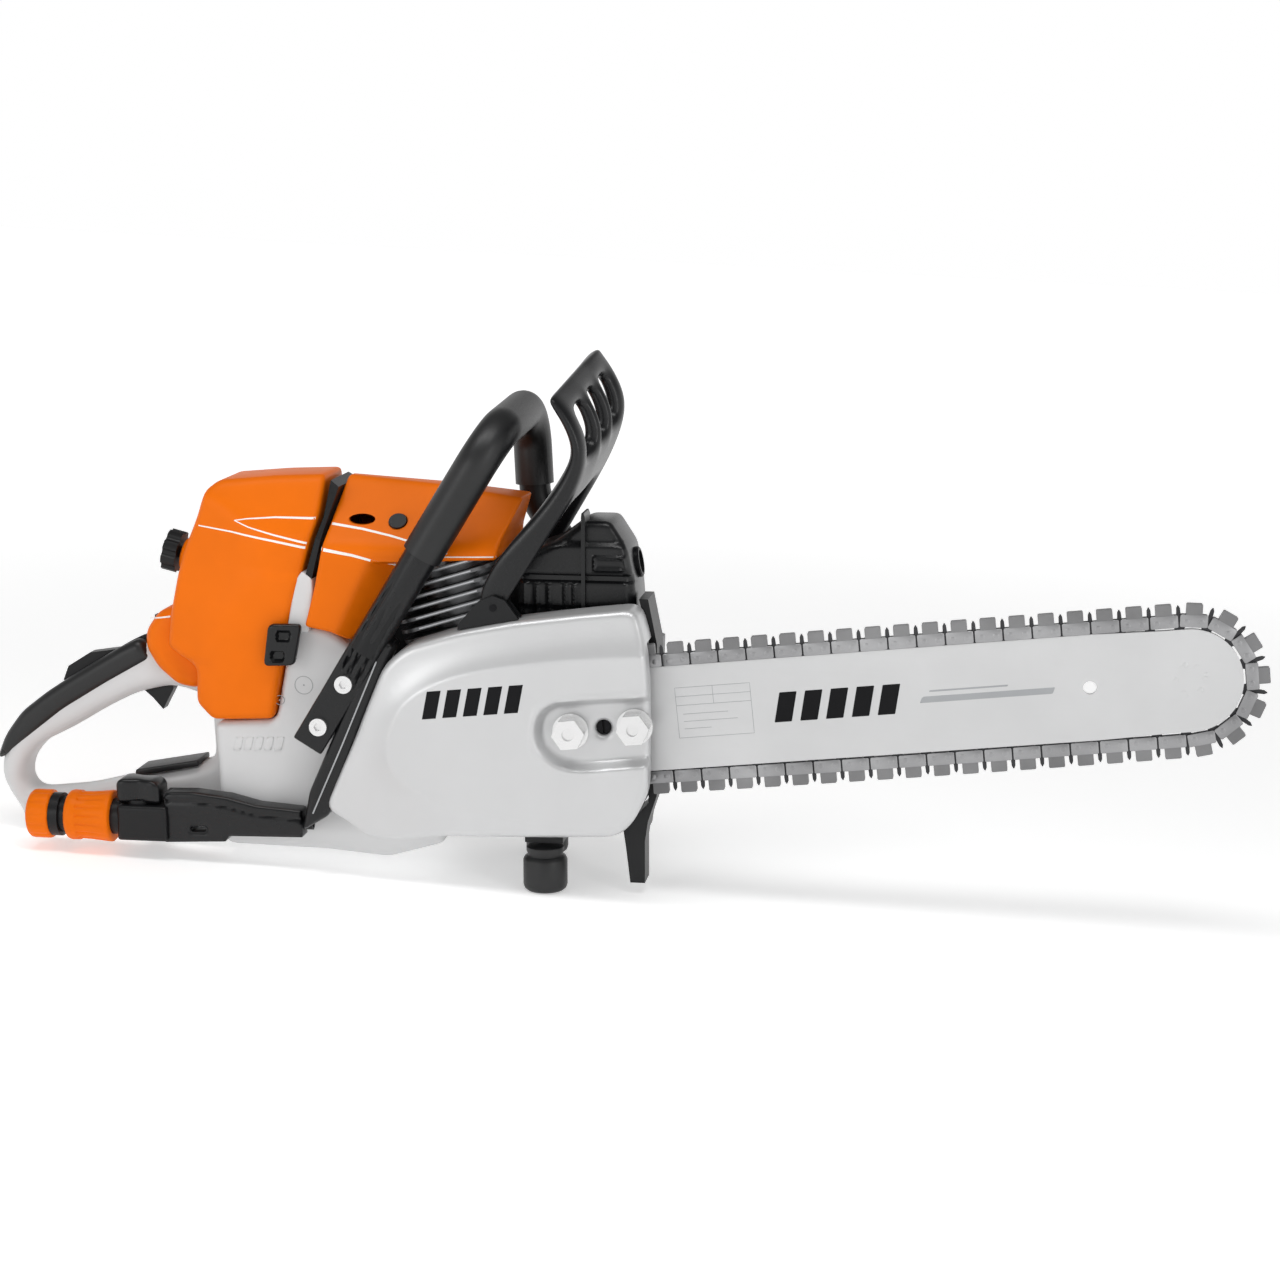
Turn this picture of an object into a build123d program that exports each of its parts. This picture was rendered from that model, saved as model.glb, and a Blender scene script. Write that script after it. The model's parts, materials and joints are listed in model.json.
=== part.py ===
"""A motor saw for masonry: diamond chain, guide bar, petrol engine, tank with rear handle, water feed.

Every piece is drawn in the saw's own frame and written in the row frame.
Saw frame: origin on the crank axis in the guide bar's mid plane, +X forward, +Y to the operator's left,
+Z up, in millimetres.
Row frame: the saw on its feet, nose up by STANCE, with the origin on the floor under its middle.
"""

import os
from math import asin, atan2, cos, degrees, pi, radians, sin

from build123d import *

# ---------------------------------------------------------------- driving dimensions
CRANK_X, BAR_Y, CRANK_Z = -71.3, -49.0, 108.3  # the saw frame's origin in the row frame
STANCE = 2.6  # degrees, the saw leans nose up on its feet
BAR_TILT = 5.95  # degrees, guide bar nose up
ENGINE_Y = 52.0  # mid plane of crank throw, cylinder and handle
CYLINDER_LEAN = 17.0  # degrees, cylinder leans back
CASE_Y = (8.0, 98.0)  # right and left face of the crankcase
THROW = 17.0
BORE_R = 23.5
TUBE_R, TUBE_BORE, GRIP_R = 11.0, 8.5, 13.5  # handlebar
COVER_FACE, COVER_WALL = -28.0, 3.0  # sprocket cover
GUARD_PIVOT = (4.0, 86.0)
TRIGGER_PIVOT = (-243.0, 24.0)
LOCKOUT_PIVOT = (-262.0, 36.0)
MASTER_PIVOT = (-236.5, 57.0)
COUPLING_Y, COUPLING_Z = 3.0, -70.0  # water inlet axis
LEG_Y = -12.5  # handlebar's right leg
START_Y = 132.0  # left face of the starter housing

PITCH = 9.32  # rivet to rivet
DRIVE_TEETH = 8
NOSE_TEETH = 13
RAMP_LINKS = 8  # links between drive sprocket and the rail
RAIL_LINKS = 42  # links on each rail of the bar
CHAIN_SAG = 1.0  # lower run

DRIVE_LINK_THICK = 1.5
STRAP_IN, STRAP_OUT = 0.85, 2.35  # tie strap faces, from the chain's mid plane
STRAP_LONG, STRAP_LOW, STRAP_HIGH = 16.0, -3.3, 4.6  # length, lower and upper edge from the rivet line
RIVET_R, RIVET_HALF = 1.9, 2.65
SEGMENT_LONG, SEGMENT_TALL, SEGMENT_WIDE = 10.4, 7.2, 5.6
FIN_TOP, TANG_TIP = 10.8, -8.8
RIVET_FIT = 0.06

BAR_THICK, BAR_HALF = 4.5, 35.0
BAR_GROOVE, BAR_GROOVE_DEEP = 1.9, 6.5
BAR_TAIL = 47.0
NOSE_RAIL = 33.7
NOSE_HUB_R = 13.0
STUD_U = (57.0, 100.0)  # studs, along the bar
STUD_R = 4.0
TENSIONER_U = 78.5

# ---------------------------------------------------------------- frames and helpers
tilt = radians(BAR_TILT)
lean = radians(CYLINDER_LEAN)
to_row = Location((CRANK_X, BAR_Y, CRANK_Z), (0, -STANCE, 0))
nodes = {}


def side(y):
    """Sketch plane at y: x forward, y up. Its normal points to the operator's right."""
    return Plane(origin=(0, y, 0), x_dir=(1, 0, 0), z_dir=(0, -1, 0))


def bar_side(y, u=0.0, v=0.0, turn=0.0):
    """As side(), with its origin at (u, v) on the guide bar and its x along the bar, turned by turn radians."""
    origin = (u * cos(tilt) - v * sin(tilt), y, u * sin(tilt) + v * cos(tilt))
    return Plane(origin=origin, x_dir=(cos(tilt + turn), 0, sin(tilt + turn)), z_dir=(0, -1, 0))


def front(x):
    """Sketch plane at x that faces forward: x to the left, y up."""
    return Plane(origin=(x, 0, 0), x_dir=(0, 1, 0), z_dir=(1, 0, 0))


def cylinder_plane(height, y=ENGINE_Y):
    """Plane across the cylinder, height along its axis from the crank axis; x is forward, y is to the left."""
    origin = (-height * sin(lean), y, height * cos(lean))
    return Plane(origin=origin, x_dir=(cos(lean), 0, sin(lean)), z_dir=(-sin(lean), 0, cos(lean)))


def floor_z(x):
    """Height of the floor in the saw frame."""
    return -(CRANK_Z + x * sin(radians(STANCE))) / cos(radians(STANCE))


def keep(name, *shapes):
    """Registers a finished node, made of one or more shapes."""
    nodes[name] = shapes[0] if len(shapes) == 1 else Compound(label=name, children=list(shapes))


# ---------------------------------------------------------------- chain path, in the guide bar's plane
drive_step = pi / DRIVE_TEETH  # angle between rivets on the drive sprocket
nose_step = pi / NOSE_TEETH
drive_r = PITCH / (2 * sin(drive_step / 2))
nose_r = PITCH / (2 * sin(nose_step / 2))
ramp_v = drive_r * cos(drive_step / 2)  # height where a ramp leaves the sprocket
ramp_angle = asin((nose_r - ramp_v) / (RAMP_LINKS * PITCH))
kink_u = -PITCH / 2 + RAMP_LINKS * PITCH * cos(ramp_angle)
nose_u = kink_u + RAIL_LINKS * PITCH
DRIVE_LINKS = DRIVE_TEETH - 1  # links wrapped on the drive sprocket


def rivet_line():
    """(u, v) of each rivet, from the start of the upper rail, forward and round."""
    points = [(kink_u + j * PITCH, nose_r) for j in range(RAIL_LINKS + 1)]
    for j in range(1, NOSE_TEETH + 1):
        angle = pi / 2 - j * nose_step
        points.append((nose_u + nose_r * cos(angle), nose_r * sin(angle)))
    for j in range(1, RAIL_LINKS + 1):
        share = j / RAIL_LINKS
        points.append((nose_u - j * PITCH, -nose_r - 4 * CHAIN_SAG * share * (1 - share)))
    for j in range(1, RAMP_LINKS + 1):
        points.append((kink_u - j * PITCH * cos(ramp_angle), -nose_r + j * PITCH * sin(ramp_angle)))
    for j in range(1, DRIVE_LINKS + 1):
        angle = -pi / 2 - (j + 0.5) * drive_step
        points.append((drive_r * cos(angle), drive_r * sin(angle)))
    for j in range(1, RAMP_LINKS):
        points.append((-PITCH / 2 + j * PITCH * cos(ramp_angle), ramp_v + j * PITCH * sin(ramp_angle)))
    return points


rivets = rivet_line()
first_nose = RAIL_LINKS
first_bottom = first_nose + NOSE_TEETH
first_drive = first_bottom + RAIL_LINKS + RAMP_LINKS
first_ramp = first_drive + DRIVE_LINKS
chain_groups = {
    "top": [*range(first_ramp, len(rivets)), *range(first_nose)],
    "nose": range(first_nose, first_bottom),
    "bottom": range(first_bottom, first_drive),
    "drive": range(first_drive, first_ramp),
}
open_rivets = (first_nose, first_bottom, first_drive, first_ramp)  # shared by two groups, so cut in the middle


def link_place(index):
    """Location of a link: middle of its two rivets, x along the chain, y outward."""
    (u0, v0), (u1, v1) = rivets[index], rivets[(index + 1) % len(rivets)]
    return bar_side(0, (u0 + u1) / 2, (v0 + v1) / 2, atan2(v1 - v0, u1 - u0)).location


# ---------------------------------------------------------------- chain links
with BuildPart() as drive_link:
    with BuildSketch(Plane.XY.offset(-DRIVE_LINK_THICK / 2)):
        with BuildLine():
            Polyline(
                (-PITCH / 2, 3.2), (-1.5, 3.2), (-1.2, 9.0), (-0.2, FIN_TOP), (0.2, FIN_TOP), (1.2, 9.0),
                (1.5, 3.2), (PITCH / 2, 3.2), (PITCH / 2, -3.2), (3.6, -3.6), (1.4, TANG_TIP), (-1.8, TANG_TIP),
                (-3.4, -3.6), (-PITCH / 2, -3.2), close=True,
            )  # fmt: skip
        make_face()
        with Locations((-PITCH / 2, 0), (PITCH / 2, 0)):
            Circle(3.2)
        with Locations((-PITCH / 2, 0), (PITCH / 2, 0)):
            Circle(RIVET_R + RIVET_FIT, mode=Mode.SUBTRACT)
    extrude(amount=DRIVE_LINK_THICK)

with BuildPart() as tie_strap:
    with BuildSketch(Plane.XY.offset(STRAP_IN)) as strap_sketch:
        with Locations((0, (STRAP_LOW + STRAP_HIGH) / 2)):
            Rectangle(STRAP_LONG, STRAP_HIGH - STRAP_LOW)
        fillet(strap_sketch.vertices().group_by(Axis.Y)[0], 2.0)
        fillet(strap_sketch.vertices().group_by(Axis.Y)[-1], 0.8)
        with Locations((-PITCH / 2, 0), (PITCH / 2, 0)):
            Circle(RIVET_R + RIVET_FIT, mode=Mode.SUBTRACT)
    extrude(amount=STRAP_OUT - STRAP_IN)

with BuildPart() as rivet:
    with BuildSketch(Plane.XY.offset(-RIVET_HALF)):
        Circle(RIVET_R)
    extrude(amount=2 * RIVET_HALF)

with BuildPart() as rivet_stub:
    with BuildSketch(Plane.XY.offset(STRAP_IN)):
        Circle(RIVET_R)
    extrude(amount=RIVET_HALF - STRAP_IN)

with BuildPart() as segment:
    with Locations((0, STRAP_HIGH + SEGMENT_TALL / 2, 0)):
        Box(SEGMENT_LONG, SEGMENT_TALL, SEGMENT_WIDE)
    fillet(segment.edges().filter_by(Axis.Z).group_by(Axis.Y)[-1], 1.0)

flip = Location((0, 0, 0), (0, 1, 0), 180)  # the same piece on the chain's other side


def strap_parts(index):
    """Both plates and both rivets of a tie strap link; a rivet on a group's border is two stubs."""
    shapes = [tie_strap.part, tie_strap.part.moved(flip)]
    for end, x in ((index, -PITCH / 2), ((index + 1) % len(rivets), PITCH / 2)):
        at = Location((x, 0, 0))
        if end in open_rivets:
            shapes += [rivet_stub.part.moved(at), rivet_stub.part.moved(at * flip)]
        else:
            shapes.append(rivet.part.moved(at))
    return shapes


for group, indexes in chain_groups.items():
    links, segments = [], []
    for i in indexes:
        place = link_place(i)
        if i % 2:
            links.append(drive_link.part.moved(place))
        else:
            links += [shape.moved(place) for shape in strap_parts(i)]
            segments.append(segment.part.moved(place))
    if group == "drive":
        keep("chain_links_drive", *links, *segments)
    else:
        keep(f"chain_links_{group}", *links)
        keep(f"diamond_segments_{group}", *segments)

# ---------------------------------------------------------------- guide bar
with BuildSketch() as bar_outline:
    with BuildLine():
        upper = Polyline(
            (BAR_TAIL, 18), (62, 31), (84, 32.6), (100, BAR_HALF), (nose_u - 60, BAR_HALF),
            (nose_u - 15, NOSE_RAIL), (nose_u, NOSE_RAIL),
        )  # fmt: skip
        mirror(upper, Plane.XZ)
        Line((BAR_TAIL, 18), (BAR_TAIL, -18))
        ThreePointArc((nose_u, NOSE_RAIL), (nose_u + NOSE_RAIL, 0), (nose_u, -NOSE_RAIL))
    make_face()

with BuildSketch() as bar_core:
    add(bar_outline.sketch)
    offset(amount=-BAR_GROOVE_DEEP, mode=Mode.REPLACE)
    with Locations((nose_u, 0)):
        Circle(NOSE_RAIL + 2, mode=Mode.SUBTRACT)
        Circle(NOSE_HUB_R)

with BuildSketch() as bar_groove:
    add(bar_outline.sketch)
    offset(amount=2, mode=Mode.REPLACE)
    add(bar_core.sketch, mode=Mode.SUBTRACT)

with BuildPart() as guide_bar:
    with BuildSketch(bar_side(BAR_THICK / 2)):
        add(bar_outline.sketch)
    extrude(amount=BAR_THICK)
    with BuildSketch(bar_side(BAR_GROOVE / 2)):
        add(bar_groove.sketch)
    extrude(amount=BAR_GROOVE, mode=Mode.SUBTRACT)
    with BuildSketch(bar_side(BAR_THICK / 2)):
        with Locations(((STUD_U[0] + STUD_U[1]) / 2, 0)):
            SlotOverall(STUD_U[1] - STUD_U[0] + 12, 2 * STUD_R + 0.6)
        with Locations((TENSIONER_U, 20), (TENSIONER_U, -20)):
            Circle(3.2)
        with Locations((396, 0)):
            Circle(4.4)
    extrude(amount=BAR_THICK, mode=Mode.SUBTRACT)
    with BuildSketch(bar_side(-BAR_THICK / 2)):
        with Locations((nose_u, 0)):
            with PolarLocations(9.5, 6):
                Circle(1.9)
    extrude(amount=0.25)
    with BuildSketch(bar_side(BAR_THICK / 2 + 0.25)):
        with Locations((nose_u, 0)):
            with PolarLocations(9.5, 6):
                Circle(1.9)
    extrude(amount=0.25)
keep("guide_bar", guide_bar.part)

with BuildSketch() as tang_pocket:
    with BuildLine():
        Polyline((28.6, -2.6), (28.6, 2.6), (36, 5.4), (36, -5.4), close=True)
    make_face()

with BuildPart() as nose_sprocket:
    with BuildSketch(bar_side(0.75, nose_u, 0)):
        Circle(NOSE_RAIL - 0.9)
        Circle(NOSE_HUB_R + 0.05, mode=Mode.SUBTRACT)
        with PolarLocations(0, NOSE_TEETH, start_angle=degrees(pi / 2 - 1.5 * nose_step)):
            add(tang_pocket.sketch, mode=Mode.SUBTRACT)
    extrude(amount=DRIVE_LINK_THICK)
keep("nose_sprocket", nose_sprocket.part)

# ---------------------------------------------------------------- chain drive: clutch drum with rim sprocket
with BuildPart() as clutch_drum:
    with BuildSketch(side(31)):
        Circle(36)
    extrude(amount=19)
    with BuildSketch(side(31)):
        Circle(34)
        Circle(13, mode=Mode.SUBTRACT)
    extrude(amount=17, mode=Mode.SUBTRACT)
    with BuildSketch(side(31)):
        Circle(13.5)
    extrude(amount=14.5, mode=Mode.SUBTRACT)
    with BuildSketch(side(12)):
        Circle(13)
    extrude(amount=5)
    with BuildSketch(side(31)):
        Circle(8.05)
    extrude(amount=60, mode=Mode.SUBTRACT)
with BuildSketch() as drive_tooth:
    with BuildLine():
        Polyline((13, -3.6), (19.2, -1.8), (19.2, 1.8), (13, 3.6), close=True)
    make_face()

with BuildPart() as rim_sprocket:
    with BuildSketch(side(7)):
        Circle(19.2)
        Circle(8.05, mode=Mode.SUBTRACT)
    extrude(amount=14)
    with BuildSketch(bar_side(1.1)):
        Circle(20)
        Circle(13.2, mode=Mode.SUBTRACT)
        with PolarLocations(0, DRIVE_TEETH):
            add(drive_tooth.sketch, mode=Mode.SUBTRACT)
    extrude(amount=2.2, mode=Mode.SUBTRACT)
keep("drive_sprocket", clutch_drum.part, rim_sprocket.part)

# ---------------------------------------------------------------- crankshaft, clutch and flywheel
with BuildPart() as crankshaft:
    with BuildSketch(side(96)):
        Circle(8)
    extrude(amount=30)
    with BuildSketch(side(66)):
        Circle(30)
    extrude(amount=8)
    with BuildSketch(side(58)):
        with Locations((0, THROW)):
            Circle(7)
    extrude(amount=12)
    with BuildSketch(side(46)):
        Circle(30)
    extrude(amount=8)
    with BuildSketch(side(38)):
        Circle(8)
    extrude(amount=58)
    with BuildSketch(side(118)):
        Circle(6)
    extrude(amount=22)
keep("crankshaft", crankshaft.part)

with BuildPart() as clutch_hub:
    with BuildSketch(side(29)):
        Circle(12)
        Circle(8, mode=Mode.SUBTRACT)
        with PolarLocations(16, 3):
            Rectangle(12, 8)
        Circle(8, mode=Mode.SUBTRACT)
    extrude(amount=12)

with BuildPart() as clutch_shoes:
    with BuildSketch(side(28.5)):
        Circle(32.5)
        Circle(22.3, mode=Mode.SUBTRACT)
        with PolarLocations(30, 3, start_angle=60):
            Rectangle(30, 3, mode=Mode.SUBTRACT)
    extrude(amount=11)
keep("clutch", clutch_hub.part, *clutch_shoes.part.solids())

with BuildPart() as flywheel:
    with BuildSketch(side(112)):
        Circle(46)
        Circle(6, mode=Mode.SUBTRACT)
    extrude(amount=10)
    with BuildSketch(side(118)):
        with PolarLocations(36, 18):
            Rectangle(18, 2.2, rotation=25)
    extrude(amount=6)
keep("flywheel", flywheel.part)

# ---------------------------------------------------------------- crankcase and cylinder
with BuildPart() as crankcase:
    with BuildSketch(side(CASE_Y[1])):
        with BuildLine():
            Polyline(
                (-66, -58), (-20, -66), (60, -66), (102, -48), (104, 50), (60, 66), (22, 60), (14, 56), (-52, 36),
                (-66, 20), close=True,
            )  # fmt: skip
        make_face()
    extrude(amount=CASE_Y[1] - CASE_Y[0])
    with BuildSketch(side(36)):
        Circle(42)
    extrude(amount=30, mode=Mode.SUBTRACT)
    with BuildSketch(side(71)):
        Circle(33)
        with Locations(Location((0, 0, 0), (0, 0, CYLINDER_LEAN))):
            with Locations((0, 30)):
                Rectangle(2 * BORE_R, 60)
    extrude(amount=38, mode=Mode.SUBTRACT)
    with BuildSketch(side(CASE_Y[1])):
        Circle(8.5)
    extrude(amount=70, mode=Mode.SUBTRACT)
    with BuildSketch(side(CASE_Y[1])):
        Circle(13)
    extrude(amount=12, mode=Mode.SUBTRACT)
    with BuildSketch(bar_side(CASE_Y[0], (STUD_U[0] + STUD_U[1]) / 2)):
        RectangleRounded(60, 34, 8)
    extrude(amount=CASE_Y[0] - BAR_THICK / 2)
    with BuildSketch(bar_side(CASE_Y[0] + 14)):
        with Locations((STUD_U[0], 0), (STUD_U[1], 0)):
            Circle(STUD_R)
    extrude(amount=30, mode=Mode.SUBTRACT)
keep("crankcase", crankcase.part)

with BuildPart() as bar_studs:
    with BuildSketch(bar_side(CASE_Y[0] + 14)):
        with Locations((STUD_U[0], 0), (STUD_U[1], 0)):
            Circle(STUD_R)
    extrude(amount=CASE_Y[0] + 14 + 32)
keep("bar_studs", *bar_studs.part.solids())

with BuildPart() as crank_bearings:
    for y in (CASE_Y[1] - 2, 37.5):
        with BuildSketch(side(y)):
            Circle(13 if y > 50 else 8.45)
            Circle(8.02, mode=Mode.SUBTRACT)
        extrude(amount=10 if y > 50 else 1.2)
keep("crank_bearings", *crank_bearings.part.solids())

with BuildPart() as cylinder:
    with BuildSketch(cylinder_plane(52)):
        Circle(31)
    extrude(amount=60)
    with BuildSketch(cylinder_plane(52)):
        RectangleRounded(74, 70, 6)
    extrude(amount=6)
    for fin in range(8):
        with BuildSketch(cylinder_plane(63 + 7 * fin)):
            with Locations((-7, 0)):
                RectangleRounded(76, 84, 12)
        extrude(amount=2.4)
    with BuildSketch(cylinder_plane(50)):
        Circle(BORE_R)
    extrude(amount=57, mode=Mode.SUBTRACT)
    with BuildSketch(cylinder_plane(104)):
        Circle(6)
    extrude(amount=20, mode=Mode.SUBTRACT)
keep("cylinder", cylinder.part)

with BuildPart() as piston:
    with BuildSketch(cylinder_plane(66)):
        Circle(BORE_R - 0.05)
    extrude(amount=38)
    with BuildSketch(cylinder_plane(66)):
        Circle(BORE_R - 3)
    extrude(amount=33, mode=Mode.SUBTRACT)
    for ring in (96, 100):
        with BuildSketch(cylinder_plane(ring)):
            Circle(BORE_R)
            Circle(BORE_R - 1.6, mode=Mode.SUBTRACT)
        extrude(amount=1.2, mode=Mode.SUBTRACT)
    with BuildSketch(Plane(origin=cylinder_plane(82, ENGINE_Y + 30).origin, x_dir=(1, 0, 0), z_dir=(0, -1, 0))):
        Circle(5)
    extrude(amount=60, mode=Mode.SUBTRACT)
with BuildPart() as wrist_pin:
    with BuildSketch(Plane(origin=cylinder_plane(82, ENGINE_Y + 21).origin, x_dir=(1, 0, 0), z_dir=(0, -1, 0))):
        Circle(4.96)
        Circle(3, mode=Mode.SUBTRACT)
    extrude(amount=42)
keep("piston", piston.part, wrist_pin.part)

with BuildPart() as spark_plug:
    with BuildSketch(cylinder_plane(104)):
        Circle(6)
    extrude(amount=11)
    with BuildSketch(cylinder_plane(115)):
        RegularPolygon(9.5, 6)
    extrude(amount=6)
    with BuildSketch(cylinder_plane(121)):
        Circle(5)
    extrude(amount=14)
with BuildPart() as plug_boot:
    with BuildSketch(cylinder_plane(123)):
        Circle(9)
    extrude(amount=18)
    with BuildSketch(cylinder_plane(123)):
        Circle(5)
    extrude(amount=12, mode=Mode.SUBTRACT)
keep("spark_plug", *spark_plug.part.solids(), plug_boot.part)

# ---------------------------------------------------------------- exhaust
with BuildPart() as muffler:
    with BuildSketch(side(94)):
        with BuildLine():
            Polyline((34, 78), (88, 74), (87, 96), (80, 118), (70, 132), (58, 132), (34, 108), close=True)
        make_face()
    extrude(amount=72)
    fillet(muffler.edges().filter_by(Axis.Y), 4)
    with BuildSketch(Plane.YZ.offset(25)):
        with Locations((ENGINE_Y, 92)):
            Rectangle(40, 22)
    extrude(amount=15)
with BuildPart() as muffler_shroud:
    with BuildSketch(side(100)):
        with BuildLine() as shroud_line:
            Polyline(
                (30, 70), (95.5, 70), (93.5, 96.5), (89, 121), (77, 139.5), (58, 139.5), (44, 124), (30, 112),
                close=True,
            )  # fmt: skip
        make_face()
    extrude(amount=84)
    fillet(muffler_shroud.edges().filter_by(Axis.Y).group_by(Axis.Z)[-1], 4)
    offset(amount=-2.5, openings=muffler_shroud.faces().filter_by(Axis.Z).sort_by(Axis.Z)[0])
    with BuildSketch(side(16)):
        with Locations((59, 108)):
            Rectangle(2, 56)
    extrude(amount=2)
    with BuildSketch(Plane.YZ.offset(26)):
        with Locations((ENGINE_Y, 92)):
            Rectangle(44, 60)
    extrude(amount=8, mode=Mode.SUBTRACT)
keep("muffler_shroud", muffler_shroud.part)

with BuildPart() as exhaust_outlet:
    with BuildSketch(Plane(origin=(91.25, 62, 108.75), x_dir=(0, 1, 0), z_dir=(24.5, 0, 4.5))):
        Ellipse(13, 7)
        Ellipse(11, 5, mode=Mode.SUBTRACT)
    extrude(amount=5)
keep("muffler", muffler.part, exhaust_outlet.part)

# ---------------------------------------------------------------- sprocket cover, nuts, bar tensioner
with BuildSketch() as cover_sketch:
    with BuildLine():
        Polyline(
            (109, 40), (107, 64), (100, 88), (64, 84), (20, 78), (-20, 70), (-55, 59), (-70, 46), (-92, -8),
            (-115, -54), (-97, -63), (-84, -73), (-65, -75), (-28, -70), (28, -68), (88, -65), (99, -54),
            (109, -33), close=True,
        )  # fmt: skip
    make_face()
    fillet(cover_sketch.vertices().group_by(Axis.X)[0], 8)

with BuildPart() as pocket_floor:
    with BuildSketch(bar_side(-16)):
        with Locations((72, 3)):
            SlotOverall(104, 46)
    extrude(amount=3)
    with BuildSketch(side(-10)):
        add(cover_sketch.sketch)
        offset(amount=-1, mode=Mode.REPLACE)
    extrude(amount=20, mode=Mode.INTERSECT)

with BuildPart() as sprocket_cover:
    with BuildSketch(side(CASE_Y[0])):
        add(cover_sketch.sketch)
    extrude(amount=CASE_Y[0] - COVER_FACE)
    chamfer(sprocket_cover.faces().sort_by(Axis.Y)[0].edges(), 7)
    with BuildSketch(side(CASE_Y[0])):
        add(cover_sketch.sketch)
        offset(amount=-COVER_WALL, mode=Mode.REPLACE)
    extrude(amount=CASE_Y[0] - COVER_FACE - 8, mode=Mode.SUBTRACT)
    with BuildSketch(side(COVER_FACE + 9)):
        add(cover_sketch.sketch)
        offset(amount=-COVER_WALL - 8, mode=Mode.REPLACE)
    extrude(amount=9 - COVER_WALL, mode=Mode.SUBTRACT)
    with BuildSketch(bar_side(COVER_FACE + 12)):
        with Locations((72, 3)):
            SlotOverall(104, 46)
    extrude(amount=20, mode=Mode.SUBTRACT)
    with BuildSketch(bar_side(-BAR_THICK / 2)):
        with Locations((72, 3)):
            SlotOverall(64, 38)
    extrude(amount=-COVER_FACE - BAR_THICK / 2 - 9)
    add(pocket_floor.part)
    with BuildSketch(Plane.YZ.offset(95)):
        with Locations((-2, 6)):
            Rectangle(24, 118)
    extrude(amount=20, mode=Mode.SUBTRACT)
    with BuildSketch(bar_side(0)):
        with Locations((STUD_U[0], 0), (STUD_U[1], 0)):
            Circle(STUD_R + 0.4)
        with Locations((TENSIONER_U, 0)):
            Circle(5)
    extrude(amount=40, mode=Mode.SUBTRACT)
keep("sprocket_cover", sprocket_cover.part)

with BuildPart() as cover_nuts:
    for u in STUD_U:
        with BuildSketch(bar_side(-19, u, 0)):
            RegularPolygon(9.5, 6, major_radius=False)
        extrude(amount=15)
        with BuildSketch(bar_side(-19, u, 0)):
            Circle(12)
        extrude(amount=3.5)
        with BuildSketch(bar_side(-18, u, 0)):
            Circle(STUD_R)
        extrude(amount=17, mode=Mode.SUBTRACT)
keep("cover_nuts", *cover_nuts.part.solids())

with BuildPart() as tensioner_screw:
    with BuildSketch(bar_side(-4, TENSIONER_U, 0)):
        Circle(4.7)
    extrude(amount=12)
    with BuildSketch(bar_side(-14, TENSIONER_U, 0)):
        Rectangle(1.6, 9.6)
    extrude(amount=2.5, mode=Mode.SUBTRACT)
keep("tensioner_screw", tensioner_screw.part)

with BuildPart() as cover_seal:
    with BuildSketch(side(8)):
        with BuildLine():
            Polyline((-124, -62), (-115.6, -53.7), (-92.8, -7.7), (-70.7, 46.4), (-72, 52), (-99, -8), close=True)
        make_face()
    extrude(amount=28)
keep("cover_seal", cover_seal.part)

with BuildPart() as brake_band:
    with BuildSketch(side(27)):
        Circle(37.6)
        Circle(36.4, mode=Mode.SUBTRACT)
    extrude(amount=10)
keep("brake_band", brake_band.part)

# ---------------------------------------------------------------- feet and front stop
with BuildPart() as foot_bracket:
    with BuildSketch(Plane.XY.offset(-76)):
        with Locations((35, 20), (20, 82)):
            Rectangle(26, 46)
    extrude(amount=7.4)
    with BuildSketch(Plane.XY.offset(-70)):
        with Locations((35, 27), (20, 82)):
            Rectangle(26, 32)
    extrude(amount=4)
with BuildPart() as rubber_feet:
    for x, y in ((35, 2), (20, 94)):
        with BuildSketch(Plane.XY.offset(floor_z(x) + 0.7)):
            with Locations((x, y)):
                Circle(15)
        extrude(amount=28)
        with BuildSketch(Plane.XY.offset(floor_z(x) + 20)):
            with Locations((x, y)):
                Circle(11)
        extrude(amount=-76 - floor_z(x) - 20)
    fillet(rubber_feet.edges().filter_by(GeomType.CIRCLE).group_by(Axis.Z)[0], 1.5)
keep("rubber_feet", *rubber_feet.part.solids())

with BuildPart() as front_stop:
    with BuildSketch(side(40)):
        with BuildLine():
            Polyline(
                (98, 90), (104.4, 62), (104.4, -49), (98, -56), (86, -60), (89, -80), (92, -105), (102, -105),
                (102, -76), (104, -62), (110, -44), (110, 60), (104, 90), close=True,
            )  # fmt: skip
        make_face()
    extrude(amount=31)
    with BuildSketch(side(41)):
        with Locations((96, -90)):
            Rectangle(30, 40)
    extrude(amount=11, mode=Mode.SUBTRACT)
keep("front_stop", front_stop.part, *foot_bracket.part.solids())

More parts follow.
